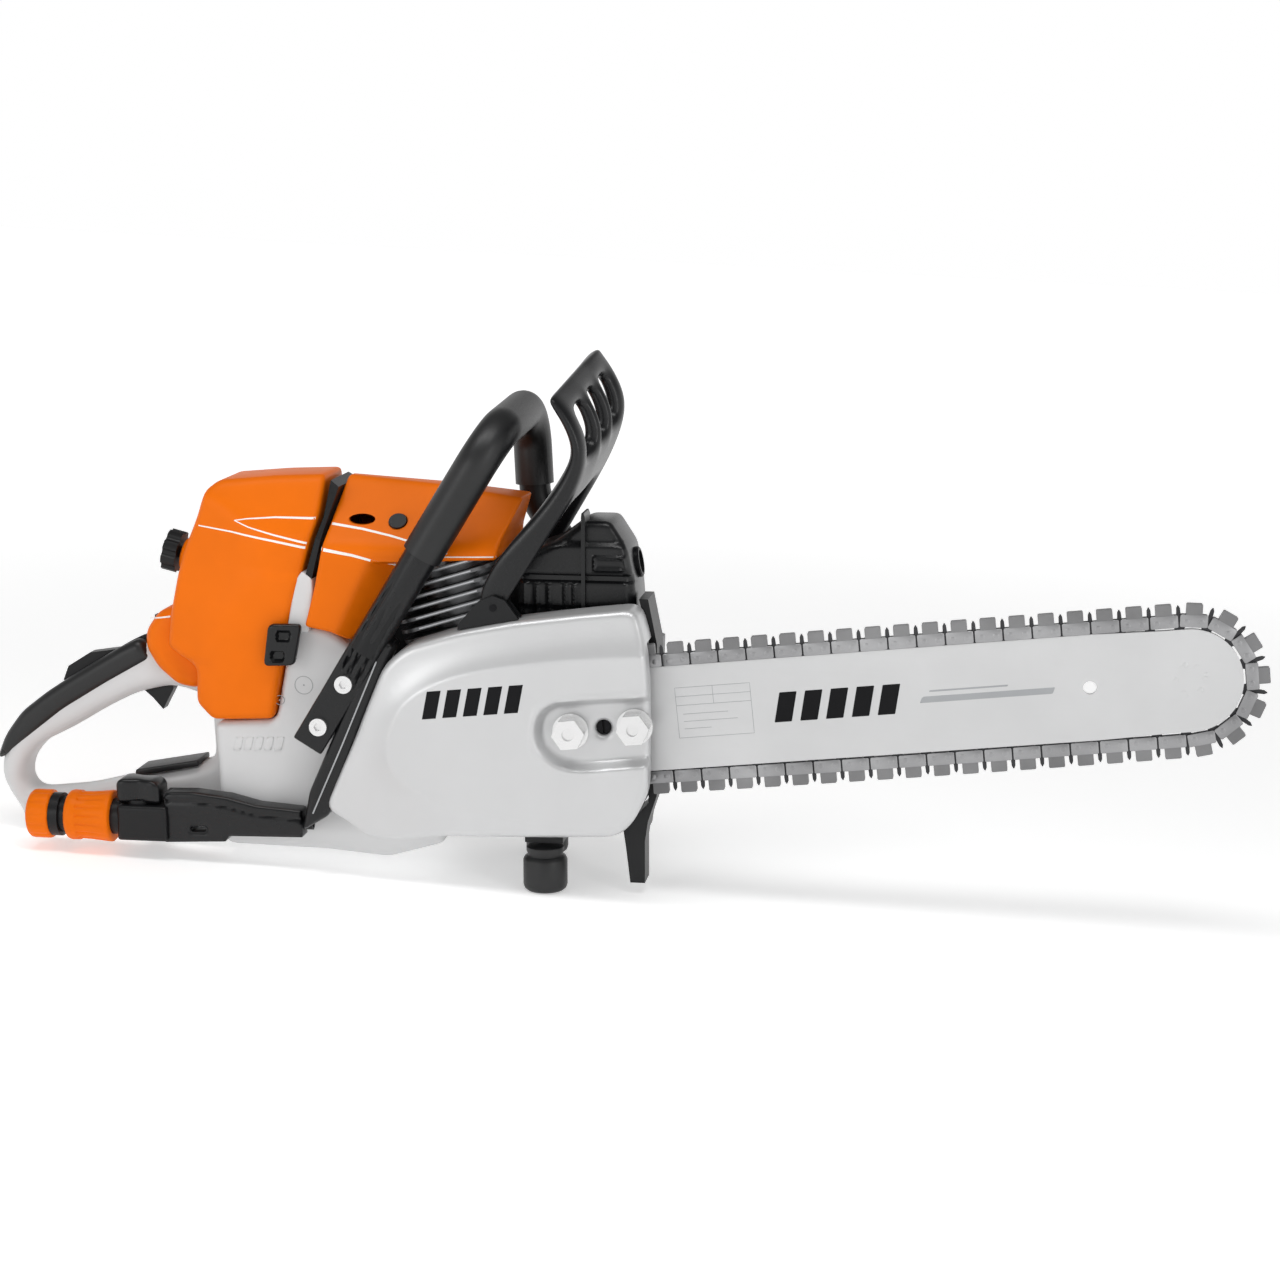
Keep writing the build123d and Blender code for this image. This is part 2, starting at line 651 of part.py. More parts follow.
# ---------------------------------------------------------------- tank housing with rear handle
with BuildPart() as tank_housing:
    with BuildSketch(side(100)):
        with BuildLine():
            Polyline(
                (-196, -3), (-193, -92), (-122, -94), (-80, -99), (-37, -84), (-37, -71), (-72.8, -71),
                (-72.8, 18), (-100, 53), (-113, 62), (-129.5, 66), (-140.5, 66), (-153, 0), close=True,
            )  # fmt: skip
        make_face()
    extrude(amount=91)
    fillet(tank_housing.faces().sort_by(Axis.Y)[0].edges(), 4)
    with BuildSketch(side(96)):
        with BuildLine():
            Polyline((-190, -9), (-188, -87), (-122, -89), (-80, -94), (-42, -81), (-77, -76), (-78, -9), close=True)
        make_face()
    extrude(amount=83, mode=Mode.SUBTRACT)
    with BuildSketch(side(100)):
        with Locations((-130, -45)):
            Circle(15)
    extrude(amount=6, mode=Mode.SUBTRACT)
    with BuildSketch(side(66)):
        with BuildLine():
            Polyline(
                (-193, 10), (-222, 40), (-256, 47), (-270, 40), (-307, 18), (-325, 6), (-343, -8), (-355, -24),
                (-362, -41), (-363, -54), (-357, -66), (-348, -78), (-346, floor_z(-346)),
                (-296, floor_z(-296)), (-280, -93), (-193, -92), close=True,
            )  # fmt: skip
        make_face()
        with BuildLine():
            Polyline(
                (-207, 8), (-234, 16), (-260, 10), (-282, -1), (-307, -16), (-331, -29), (-339, -42), (-339, -54),
                (-333, -62), (-300, -58), (-268, -50), (-222, -41), (-205, -36), close=True,
            )  # fmt: skip
        make_face(mode=Mode.SUBTRACT)
    extrude(amount=32)
    with BuildSketch(side(57)):
        with BuildLine():
            Polyline((-234, 10), (-262, 4), (-272, 20), (-232, 40), close=True)
        make_face()
        with BuildLine():
            Polyline((-250, 28), (-322, -8), (-328, 12), (-300, 30), (-256, 52), close=True)
        make_face()
    extrude(amount=14, mode=Mode.SUBTRACT)
    with BuildSketch(side(9)):
        with Locations((-97.5, 32), (-115.5, 2.4)):
            Circle(8.5)
    extrude(amount=13)
    with BuildSketch(side(12)):
        with Locations((-97.5, 32), (-115.5, 2.4)):
            Circle(3)
    extrude(amount=20, mode=Mode.SUBTRACT)
    with BuildSketch(side(60)):
        with Locations(TRIGGER_PIVOT, LOCKOUT_PIVOT):
            Circle(2)
    extrude(amount=20, mode=Mode.SUBTRACT)
keep("tank_housing", tank_housing.part)

with BuildPart() as trigger:
    with BuildSketch(side(55)):
        with BuildLine():
            Polyline((-248, 20), (-259, 12), (-251, 5), (-244, -3), (-236, 12), (-237, 24), (-244, 29), close=True)
        make_face()
        with Locations(TRIGGER_PIVOT):
            Circle(2.05, mode=Mode.SUBTRACT)
    extrude(amount=10)
keep("throttle_trigger", trigger.part)

with BuildPart() as lockout:
    with BuildSketch(side(55)):
        with BuildLine():
            Polyline((-258, 33), (-264, 41), (-296, 36), (-312, 26), (-316, 16), (-306, 12), (-270, 28), close=True)
        make_face()
        with Locations(LOCKOUT_PIVOT):
            Circle(2.05, mode=Mode.SUBTRACT)
    extrude(amount=10)
keep("throttle_lockout", lockout.part)

with BuildPart() as lever_pins:
    for place in (TRIGGER_PIVOT, LOCKOUT_PIVOT):
        with BuildSketch(side(60)):
            with Locations(place):
                Circle(2)
        extrude(amount=20)
with BuildPart() as rear_grip:
    with BuildSketch(side(68)):
        with BuildLine():
            Polyline(
                (-256, 49.5), (-271, 42.3), (-308, 20.2), (-326.6, 8), (-345, -6.3), (-357.4, -23), (-364.6, -41),
                (-357, -38), (-342, -27), (-312.5, -4), (-280, 16), (-246.5, 35), close=True,
            )  # fmt: skip
        make_face()
    extrude(amount=36)
    with BuildSketch(side(66)):
        with BuildLine():
            Polyline(
                (-240, 43.7), (-256, 47), (-270, 40), (-307, 18), (-325, 6), (-343, -8), (-355, -24), (-362, -41),
                (-340, -60), (-240, 0), close=True,
            )  # fmt: skip
        make_face()
    extrude(amount=32, mode=Mode.SUBTRACT)
    with BuildSketch(side(57)):
        with BuildLine():
            Polyline((-250, 28), (-322, -8), (-328, 12), (-300, 30), (-256, 60), close=True)
        make_face()
    extrude(amount=14, mode=Mode.SUBTRACT)

with BuildPart() as master_lever:
    with BuildSketch(side(71)):
        with Locations(MASTER_PIVOT):
            Circle(5)
            with Locations((-9, 1)):
                Rectangle(18, 5)
        with Locations(MASTER_PIVOT):
            Circle(2.05, mode=Mode.SUBTRACT)
    extrude(amount=6)
keep("master_control_lever", master_lever.part)

# ---------------------------------------------------------------- air intake and covers
def roof_form(outline, right, left, eaves, ridge_in):
    """A closed form between two side planes whose roof slopes in by ridge_in from eaves height up to z = 170."""
    with BuildPart() as form:
        with BuildSketch(side(left)):
            with BuildLine():
                Polyline(*outline, close=True)
            make_face()
        extrude(amount=left - right)
        with BuildSketch(Plane.YZ.offset(-260)):
            with BuildLine():
                Polyline((right, eaves), (right + ridge_in, 170), (right - 5, 170), (right - 5, eaves), close=True)
            make_face()
            with BuildLine():
                Polyline((left, eaves), (left - ridge_in, 170), (left + 5, 170), (left + 5, eaves), close=True)
            make_face()
        extrude(amount=320, mode=Mode.SUBTRACT)
    return form.part


filter_outline = (
    (-119, 167), (-155, 165.5), (-193, 162), (-202, 155), (-209, 135), (-219, 112), (-223, 97), (-227.5, 70),
    (-230.5, 47.5), (-209, 34), (-209.5, 9.5), (-197.5, -1), (-154, 1), (-141, 70), (-131.5, 103), (-121, 140),
)  # fmt: skip
filter_room = (
    (-116, 162), (-155, 161), (-190, 158), (-199, 151), (-205, 133), (-215, 110), (-219, 95), (-223.5, 70),
    (-225, 50), (-205, 37), (-205, 12), (-150, 12), (-138, 70), (-128, 103), (-118, 140),
)  # fmt: skip
knob_axis = Plane(origin=(-222, 45, 107.5), x_dir=(0, 1, 0), z_dir=(-cos(radians(14)), 0, sin(radians(14))))
with BuildPart() as filter_cover:
    add(roof_form(filter_outline, 4, 100, 128, 24))
    add(roof_form(filter_room, 7.5, 96.5, 126, 25), mode=Mode.SUBTRACT)
    with BuildSketch(side(102)):
        Rectangle(300, 40, align=(Align.MAX, Align.MAX))
    extrude(amount=93, mode=Mode.SUBTRACT)
    with BuildSketch(side(66.4)):
        with Locations((-203, 21)):
            Rectangle(24, 50)
    extrude(amount=32.8, mode=Mode.SUBTRACT)
    with BuildSketch(knob_axis.offset(-10)):
        Circle(4.6)
    extrude(amount=16, mode=Mode.SUBTRACT)
keep("filter_cover", filter_cover.part)

with BuildPart() as cover_knob:
    with BuildSketch(knob_axis.offset(5)):
        Circle(14.5)
        with PolarLocations(16.2, 8):
            Circle(3.4, mode=Mode.SUBTRACT)
    extrude(amount=10)
    with BuildSketch(knob_axis.offset(-16)):
        Circle(4)
    extrude(amount=21)
keep("filter_cover_knob", cover_knob.part)

with BuildPart() as intake_box:
    with BuildSketch(side(97)):
        with BuildLine():
            Polyline((-115, 163), (-109, 159), (-127, 88), (-133, 70), (-137, 70), (-128, 103), (-117, 140), close=True)
        make_face()
    extrude(amount=90)
    with BuildSketch(Plane.YZ.offset(-140)):
        with Locations((ENGINE_Y, 105)):
            Circle(16)
    extrude(amount=60, mode=Mode.SUBTRACT)
    with BuildSketch(Plane.YZ.offset(-260)):
        with BuildLine():
            Polyline((7, 126), (32, 170), (0, 170), (0, 126), close=True)
        make_face()
        with BuildLine():
            Polyline((97, 126), (72, 170), (104, 170), (104, 126), close=True)
        make_face()
    extrude(amount=320, mode=Mode.SUBTRACT)
keep("intake_box", intake_box.part)

with BuildPart() as air_filter:
    with BuildSketch(Plane.YZ.offset(-190)):
        with Locations((ENGINE_Y, 104)):
            RectangleRounded(64, 74, 12)
    extrude(amount=50)
    with BuildSketch(Plane.YZ.offset(-182)):
        with Locations((ENGINE_Y, 104)):
            RectangleRounded(52, 62, 8)
    extrude(amount=45, mode=Mode.SUBTRACT)
keep("air_filter", air_filter.part)

with BuildPart() as carburettor:
    with BuildSketch(Plane.YZ.offset(-109)):
        with Locations((ENGINE_Y, 82)):
            Rectangle(38, 34)
    extrude(amount=30)
    with BuildSketch(side(ENGINE_Y + 24)):
        with Locations((-94, 82)):
            Circle(2.5)
    extrude(amount=50)
    with BuildSketch(Plane.YZ.offset(-110)):
        with Locations((ENGINE_Y, 82)):
            Circle(9)
    extrude(amount=34, mode=Mode.SUBTRACT)
with BuildPart() as intake_boot:
    with BuildSketch(Plane.YZ.offset(-79)):
        with Locations((ENGINE_Y, 82)):
            Circle(14)
            Circle(10, mode=Mode.SUBTRACT)
    extrude(amount=2.6)
keep("carburettor", carburettor.part, intake_boot.part)

shroud_outline = (
    (-107, 165), (-42, 160), (16, 152.7), (5, 127), (3, 114.7), (-31, 113.3), (-79, 107.8), (-99, 57),
    (-110, 63), (-129, 66.7), (-122, 92),
)  # fmt: skip
shroud_room = (
    (-106, 161), (-42, 156.5), (11, 150), (2, 127), (0, 100), (-31, 100), (-83, 96), (-101, 50), (-112, 60),
    (-125, 66), (-119, 92),
)  # fmt: skip
vent = Plane(origin=(-66.7, 18, 137.2), x_dir=(1, 0, 0), z_dir=(0, -1, 1))
with BuildPart() as top_shroud:
    add(roof_form(shroud_outline, 2, 100, 121, 49))
    add(roof_form(shroud_room, 5.5, 96.5, 119.5, 50.5), mode=Mode.SUBTRACT)
    with BuildSketch(vent.offset(-25)):
        Circle(6.5)
        with Locations((-25, 0)):
            SlotOverall(18, 9)
    extrude(amount=45, mode=Mode.SUBTRACT)
keep("top_shroud", top_shroud.part)

with BuildPart() as decompression_button:
    with BuildSketch(vent.offset(-22)):
        Circle(3)
    extrude(amount=18)
    with BuildSketch(vent.offset(-5.5)):
        Circle(6)
    extrude(amount=7)
keep("decompression_button", decompression_button.part)

with BuildPart() as rear_shroud:
    with BuildSketch(side(64)):
        with BuildLine():
            Polyline((-228, 73), (-244, 67.5), (-252.5, 54), (-252, 47), (-232.5, 42.5), (-231.5, 47), close=True)
        make_face()
    extrude(amount=28)
    fillet(rear_shroud.edges().filter_by(Axis.Y).group_by(Axis.X)[0], 4)
    with BuildSketch(side(73)):
        with Locations(MASTER_PIVOT):
            Circle(2)
    extrude(amount=12)
keep("rear_shroud", rear_shroud.part)

with BuildPart() as square_cap:
    with BuildSketch(side(3.7)):
        with BuildLine():
            Polyline((-152.6, 68), (-130.5, 68.5), (-136, 41), (-156, 40), close=True)
        make_face()
    extrude(amount=5)
    fillet(square_cap.edges().filter_by(Axis.Y), 2)
keep("access_cap", square_cap.part)

with BuildPart() as fuel_cap:
    with BuildSketch(side(107)):
        with Locations((-130, -45)):
            Circle(18)
    extrude(amount=6.6)
    with BuildSketch(side(100.4)):
        with Locations((-130, -45)):
            Circle(14.6)
    extrude(amount=4.2)
    with BuildSketch(side(111)):
        with Locations((-130, -45)):
            Rectangle(28, 5)
    extrude(amount=4)
keep("fuel_cap", fuel_cap.part)

# ---------------------------------------------------------------- handlebar and hand guard
tube_start, tube_rear, tube_far, tube_knee = (-84, LEG_Y, 54.2), (5.5, LEG_Y, 200.3), (6, 118, 208), (9, 118, 142)
tube_points = (tube_start, tube_rear, tube_far, tube_knee, (68, 118, 42), (68, 118, -52))
grip_points = (
    tuple(Vector(*tube_start) * 0.55 + Vector(*tube_rear) * 0.45), tube_rear, tube_far,
    tuple(Vector(*tube_far) * 0.15 + Vector(*tube_knee) * 0.85),
)  # fmt: skip


def tube(points, outer, inner):
    """A round tube along bent lines."""
    with BuildPart() as swept:
        with BuildLine() as path:
            FilletPolyline(*points, radius=30)
        with BuildSketch(Plane(origin=points[0], z_dir=Vector(*points[1]) - Vector(*points[0]))):
            Circle(outer)
            Circle(inner, mode=Mode.SUBTRACT)
        sweep(path=path.wires()[0])
    return swept.part


with BuildPart() as handlebar:
    add(tube(tube_points, TUBE_R, TUBE_BORE))
    with BuildSketch(side(LEG_Y + 8.5)):
        with Locations(Location((-100, 28.1, 0), (0, 0, degrees(atan2(146.1, 89.5))))):
            SlotOverall(92, 21)
    extrude(amount=11)
    with BuildSketch(side(0)):
        with Locations((-97.5, 32), (-115.5, 2.4)):
            Circle(3.3)
    extrude(amount=20, mode=Mode.SUBTRACT)
keep("handlebar", handlebar.part)
keep("handlebar_grip", tube(grip_points, GRIP_R, TUBE_R + 0.02))

with BuildPart() as handlebar_screws:
    with BuildSketch(side(8)):
        with Locations((-97.5, 32), (-115.5, 2.4)):
            Circle(3)
    extrude(amount=24)
    with BuildSketch(side(LEG_Y - 2.5)):
        with Locations((-97.5, 32), (-115.5, 2.4)):
            Circle(6)
    extrude(amount=4)
    with BuildSketch(side(LEG_Y - 4.5)):
        with Locations((-97.5, 32), (-115.5, 2.4)):
            RegularPolygon(2.9, 6)
    extrude(amount=2, mode=Mode.SUBTRACT)
with BuildPart() as left_mount:
    with BuildSketch(side(106.8)):
        with Locations((68, -40)):
            Circle(10)
    extrude(amount=8.8)
panel_section = (
    (55, 151), (58, 164), (60, 180), (57, 197), (50, 213), (47, 238), (41, 236), (43, 211), (50, 194), (52, 180),
    (50, 165), (46, 153),
)  # fmt: skip
near_arm = (
    (-4, 82), (4, 78.6), (12, 82), (37, 123.5), (55, 151), (58, 164), (60, 180), (52, 182), (46, 172), (6, 128), (-4, 92),
)  # fmt: skip
far_arm = (
    (-4, 82), (4, 78.6), (12, 82), (45, 123), (70, 158), (74, 170), (76, 188), (68, 190), (60, 178), (10, 130), (-4, 92),
)  # fmt: skip
with BuildPart() as hand_guard:
    with BuildSketch(side(-10.7)):
        with BuildLine():
            Polyline(*panel_section, close=True)
        make_face()
    with BuildSketch(side(118)):
        with BuildLine():
            Polyline(*[(x + 16, z + 8) for x, z in panel_section], close=True)
        make_face()
    loft(ruled=True)
    with BuildSketch(Plane.YZ.offset(20)):
        with Locations((22, 210), (55, 212), (88, 214)):
            RectangleRounded(25, 40, 8)
    extrude(amount=80, mode=Mode.SUBTRACT)
    with BuildSketch(side(-5.3)):
        with BuildLine():
            Polyline(*near_arm, close=True)
        make_face()
    extrude(amount=5.4)
    with BuildSketch(side(105.5)):
        with BuildLine():
            Polyline(*far_arm, close=True)
        make_face()
    extrude(amount=4.5)
    with BuildSketch(side(110)):
        with Locations(GUARD_PIVOT):
            Circle(2.55)
    extrude(amount=130, mode=Mode.SUBTRACT)
keep("hand_guard", hand_guard.part)

with BuildPart() as guard_brackets:
    with BuildSketch(side(-1.5)):
        with BuildLine():
            Polyline((-20, 70.6), (21, 78.7), (12, 91), (4, 94), (-6, 90), (-20, 74), close=True)
        make_face()
        with Locations(GUARD_PIVOT):
            Circle(2.5, mode=Mode.SUBTRACT)
    extrude(amount=13)
    with BuildSketch(side(-4.8)):
        with BuildLine():
            Polyline((-30, 72), (-4, 77), (30, 77.6), (30, 100), (-30, 100), close=True)
        make_face()
    extrude(amount=6.4, mode=Mode.SUBTRACT)
    with BuildSketch(side(100.5)):
        with BuildLine():
            Polyline((-8, 54.5), (16, 54.5), (14, 92), (-6, 92), close=True)
        make_face()
        with Locations(GUARD_PIVOT):
            Circle(2.5, mode=Mode.SUBTRACT)
    extrude(amount=2.5)
keep("guard_brackets", *guard_brackets.part.solids())

with BuildPart() as guard_pins:
    for y, length in ((-1, 14), (107, 10)):
        with BuildSketch(side(y)):
            with Locations(GUARD_PIVOT):
                Circle(2.5)
        extrude(amount=length)
keep("pivot_pins", *guard_pins.part.solids(), *lever_pins.part.solids())

# ---------------------------------------------------------------- water inlet
inlet = Plane(origin=(0, COUPLING_Y, COUPLING_Z), x_dir=(0, -1, 0), z_dir=(-1, 0, 0))


def ring(start, length, outer, inner):
    """A ring round the water inlet from x = -start rearward."""
    with BuildPart() as made:
        with BuildSketch(inlet.offset(start)):
            Circle(outer)
            Circle(inner, mode=Mode.SUBTRACT)
        extrude(amount=length)
    return made.part


with BuildPart() as coupling_core:
    add(ring(267.5, 50, 12.4, 6.5))
    add(ring(304, 6.4, 15, 12))
keep("coupling_sleeve", ring(267, 32, 17.8, 12.5))
with BuildPart() as coupling_nut:
    add(ring(310.8, 16.2, 17, 12.5))
    add(ring(318, 9, 12.6, 9.5))
with BuildPart() as hose_cone:
    add(ring(317.5, 9.5, 9.4, 6.5))
keep("coupling_nut", coupling_nut.part)
keep("coupling_core", *coupling_core.part.solids(), hose_cone.part)

with BuildPart() as water_valve:
    with BuildSketch(inlet.offset(229)):
        Circle(12.5)
    extrude(amount=38.4)
    with BuildSketch(Plane.XY.offset(COUPLING_Z + 5)):
        with Locations((-249, COUPLING_Y)):
            Circle(9)
    extrude(amount=8.6)
    with BuildSketch(Plane.XY.offset(COUPLING_Z)):
        with Locations((-249, COUPLING_Y)):
            Circle(3.05)
    extrude(amount=20, mode=Mode.SUBTRACT)
    with BuildSketch(side(34)):
        with Locations((-245, -78)):
            Rectangle(20, 12)
    extrude(amount=22)
    with BuildSketch(inlet.offset(200)):
        Circle(4)
    extrude(amount=66, mode=Mode.SUBTRACT)
with BuildPart() as valve_lever:
    with BuildSketch(Plane.XY.offset(COUPLING_Z + 14)):
        with Locations((-249, COUPLING_Y)):
            SlotOverall(31, 16)
    extrude(amount=11)
    with BuildSketch(Plane.XY.offset(COUPLING_Z + 4.5)):
        with Locations((-249, COUPLING_Y)):
            Circle(3)
    extrude(amount=12)
keep("water_valve", water_valve.part)
keep("water_valve_lever", valve_lever.part)

with BuildPart() as hose_guide:
    with BuildSketch(side(8.6)):
        with BuildLine():
            Polyline(
                (-228.6, -50), (-208, -49.4), (-184, -52), (-163.5, -57), (-134, -59.3), (-132, -78), (-183.7, -79),
                (-186, -83), (-228.6, -85), close=True,
            )  # fmt: skip
        make_face()
        with Locations((-205, -75)):
            SlotOverall(12, 4, mode=Mode.SUBTRACT)
    extrude(amount=14)
    with BuildSketch(inlet.offset(120)):
        Circle(4.6)
    extrude(amount=120, mode=Mode.SUBTRACT)
with BuildPart() as water_pipe:
    with BuildSketch(inlet.offset(126)):
        Circle(4.5)
        Circle(3, mode=Mode.SUBTRACT)
    extrude(amount=102)
keep("hose_guide", hose_guide.part, water_pipe.part)

with BuildPart() as strut_clip:
    with BuildSketch(side(60)):
        with BuildLine():
            Polyline((-268, -49.5), (-222, -40.5), (-222, -36), (-268, -45), close=True)
        make_face()
    extrude(amount=27)
keep("rear_grip", *rear_grip.part.solids(), strut_clip.part)

# ---------------------------------------------------------------- starter on the left side
rope_line = Plane(origin=(15.6, 123, 9), x_dir=(0, 1, 0), z_dir=(-0.5, 0, 0.866))
with BuildPart() as starter_housing:
    with BuildSketch(side(START_Y)):
        Circle(54)
    extrude(amount=START_Y - CASE_Y[1])
    chamfer(starter_housing.faces().sort_by(Axis.Y)[-1].edges(), 6)
    with BuildSketch(side(START_Y - 3)):
        Circle(48.5)
    extrude(amount=START_Y - CASE_Y[1] - 3, mode=Mode.SUBTRACT)
    with BuildSketch(side(START_Y)):
        with PolarLocations(36, 16):
            SlotOverall(16, 4)
    extrude(amount=4, mode=Mode.SUBTRACT)
    with BuildSketch(side(START_Y - 3)):
        Circle(7.95)
    extrude(amount=10)
    with BuildSketch(side(START_Y - 4)):
        with PolarLocations(51.2, 4, start_angle=45):
            Circle(1.95)
    extrude(amount=START_Y - CASE_Y[1] - 4, mode=Mode.SUBTRACT)
    with BuildSketch(rope_line):
        Circle(3)
    extrude(amount=70, mode=Mode.SUBTRACT)
with BuildPart() as starter_pulley:
    with BuildSketch(side(128.5)):
        Circle(15.6)
        Circle(8, mode=Mode.SUBTRACT)
    extrude(amount=9)
with BuildPart() as starter_rope:
    with BuildSketch(rope_line.offset(-40)):
        Circle(1.75)
    extrude(amount=96)
with BuildPart() as starter_grip:
    with BuildSketch(rope_line.offset(56)):
        RectangleRounded(14, 46, 6)
    extrude(amount=13)
keep("starter_housing", starter_housing.part)
keep("starter_pulley", starter_pulley.part)
keep("starter_rope", starter_rope.part)
keep("starter_grip", starter_grip.part)

with BuildPart() as starter_screws:
    with BuildSketch(side(START_Y - 4)):
        with PolarLocations(51.2, 4, start_angle=45):
            Circle(1.9)
    extrude(amount=START_Y - CASE_Y[1] - 4)
keep("housing_screws", *starter_screws.part.solids(), *handlebar_screws.part.solids())

# ---------------------------------------------------------------- engine mounts
with BuildPart() as mounts:
    for x, y, z in ((-72.8, 22, -20), (-72.8, 84, -20)):
        with BuildSketch(Plane.YZ.offset(x)):
            with Locations((y, z)):
                Circle(9)
        extrude(amount=6.6)
keep("engine_mounts", *mounts.part.solids(), left_mount.part)

# ---------------------------------------------------------------- write the nodes in the row frame
os.makedirs("parts", exist_ok=True)
for name, shape in nodes.items():
    placed = shape.moved(to_row)
    placed.label = name
    export_step(placed, f"parts/{name}.step")
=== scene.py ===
import json
import math

import bmesh
import bpy
import numpy as np
from mathutils import Matrix, Vector
from mathutils.geometry import delaunay_2d_cdt


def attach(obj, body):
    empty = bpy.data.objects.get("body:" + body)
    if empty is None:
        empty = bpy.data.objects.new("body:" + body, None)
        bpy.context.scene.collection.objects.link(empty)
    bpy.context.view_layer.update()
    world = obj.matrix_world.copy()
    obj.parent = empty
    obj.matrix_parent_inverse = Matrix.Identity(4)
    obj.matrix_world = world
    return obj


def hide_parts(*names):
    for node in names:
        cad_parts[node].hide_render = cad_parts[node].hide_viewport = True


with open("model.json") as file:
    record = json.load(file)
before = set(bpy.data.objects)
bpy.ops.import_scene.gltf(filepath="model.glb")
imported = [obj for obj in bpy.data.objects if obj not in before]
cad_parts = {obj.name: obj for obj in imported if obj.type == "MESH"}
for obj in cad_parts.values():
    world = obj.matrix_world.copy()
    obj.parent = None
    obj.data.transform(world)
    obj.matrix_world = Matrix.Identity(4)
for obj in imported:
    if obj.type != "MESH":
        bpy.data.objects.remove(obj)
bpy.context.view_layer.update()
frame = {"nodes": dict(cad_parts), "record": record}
nodes = frame["nodes"]

# ---------------------------------------------------------------- the saw's own frame
# Shapes below are in millimetres in the saw's own frame: origin on the crank axis in the guide bar's
# mid plane, x forward, y to the operator's left, z up. The row frame leans it nose up by STANCE.
MM = 0.001
STANCE = math.radians(2.6)
BAR_TILT = math.radians(5.95)
NOSE_U = 459.8  # nose sprocket's centre along the bar
CRANK_HEIGHT = 108.3  # above the floor
to_row = Matrix.Translation(Vector((-71.3, -49.0, CRANK_HEIGHT)) * MM) @ Matrix.Rotation(-STANCE, 4, "Y")


def saw(x, y, z):
    """A point of the saw's own frame in the row frame."""
    return to_row @ Vector((x * MM, y * MM, z * MM))


def on_bar(u, y, v):
    """A point of the guide bar's plane, u along it and v across it, in the saw's own frame."""
    c, s = math.cos(BAR_TILT), math.sin(BAR_TILT)
    return u * c - v * s, y, u * s + v * c


# ---------------------------------------------------------------- materials
def map_range(tree, value, low, high, to_low, to_high, kind="LINEAR"):
    """The result of a Map Range node that takes low..high to to_low..to_high."""
    node = tree.nodes.new("ShaderNodeMapRange")
    node.interpolation_type = kind
    limits = {"From Min": low, "From Max": high, "To Min": to_low, "To Max": to_high}
    for socket, number in limits.items():
        node.inputs[socket].default_value = number
    tree.links.new(value, node.inputs["Value"])
    return node.outputs["Result"]


def noise(tree, vector, scale, detail):
    """The value of a Noise node, from 0 to 1."""
    node = tree.nodes.new("ShaderNodeTexNoise")
    node.inputs["Scale"].default_value = scale
    node.inputs["Detail"].default_value = detail
    tree.links.new(vector, node.inputs["Vector"])
    return node.outputs["Fac"]


PATCH_SCALE = 18  # noise scale of the mottling, with patches a few centimetres wide
WORN_FROM, WORN_FULL = 0.52, 0.62  # pointiness where an edge starts to look worn, and where it is fully worn


def material(name, color, rough=0.4, metallic=0.0, grain=0.0, grain_scale=400.0, vary=0.04, bump=0.0,
             wear=0.0, brushed=None, shine=0.5):
    """Principled material: mottled colour, grainy roughness, fine bump, pale worn edges, brush marks."""
    look = bpy.data.materials.new(name)
    look.use_nodes = True
    tree = look.node_tree
    new, link = tree.nodes.new, tree.links.new
    bsdf = tree.nodes["Principled BSDF"]
    bsdf.inputs["Metallic"].default_value = metallic
    bsdf.inputs["Specular IOR Level"].default_value = shine
    coord = new("ShaderNodeTexCoord").outputs["Object"]
    place = new("ShaderNodeMapping")
    if brushed:
        place.inputs["Rotation"].default_value = (0, STANCE + BAR_TILT, 0)
        place.inputs["Scale"].default_value = brushed
    link(coord, place.inputs["Vector"])
    fine = noise(tree, place.outputs["Vector"], grain_scale, 4)
    ramp = new("ShaderNodeValToRGB")
    for element, position, factor in zip(ramp.color_ramp.elements, (0.3, 0.7), (1 - vary, 1 + vary)):
        element.position = position
        element.color = (*[min(1, c * factor) for c in color], 1)
    link(noise(tree, coord, PATCH_SCALE, 3), ramp.inputs["Fac"])
    color_out = ramp.outputs["Color"]
    if wear:
        pointiness = new("ShaderNodeNewGeometry").outputs["Pointiness"]
        mix = new("ShaderNodeMix")
        mix.data_type = "RGBA"
        mix.inputs["B"].default_value = (*[min(1, c * 1.6 + 0.05) for c in color], 1)
        link(map_range(tree, pointiness, WORN_FROM, WORN_FULL, 0, wear), mix.inputs["Factor"])
        link(color_out, mix.inputs["A"])
        color_out = mix.outputs["Result"]
    link(color_out, bsdf.inputs["Base Color"])
    roughness = map_range(tree, fine, 0, 1, max(0.02, rough - grain), min(1, rough + grain))
    link(roughness, bsdf.inputs["Roughness"])
    if bump:
        dents = new("ShaderNodeBump")
        dents.inputs["Strength"].default_value = 0.4
        dents.inputs["Distance"].default_value = bump * MM
        link(fine, dents.inputs["Height"])
        link(dents.outputs["Normal"], bsdf.inputs["Normal"])
    return look


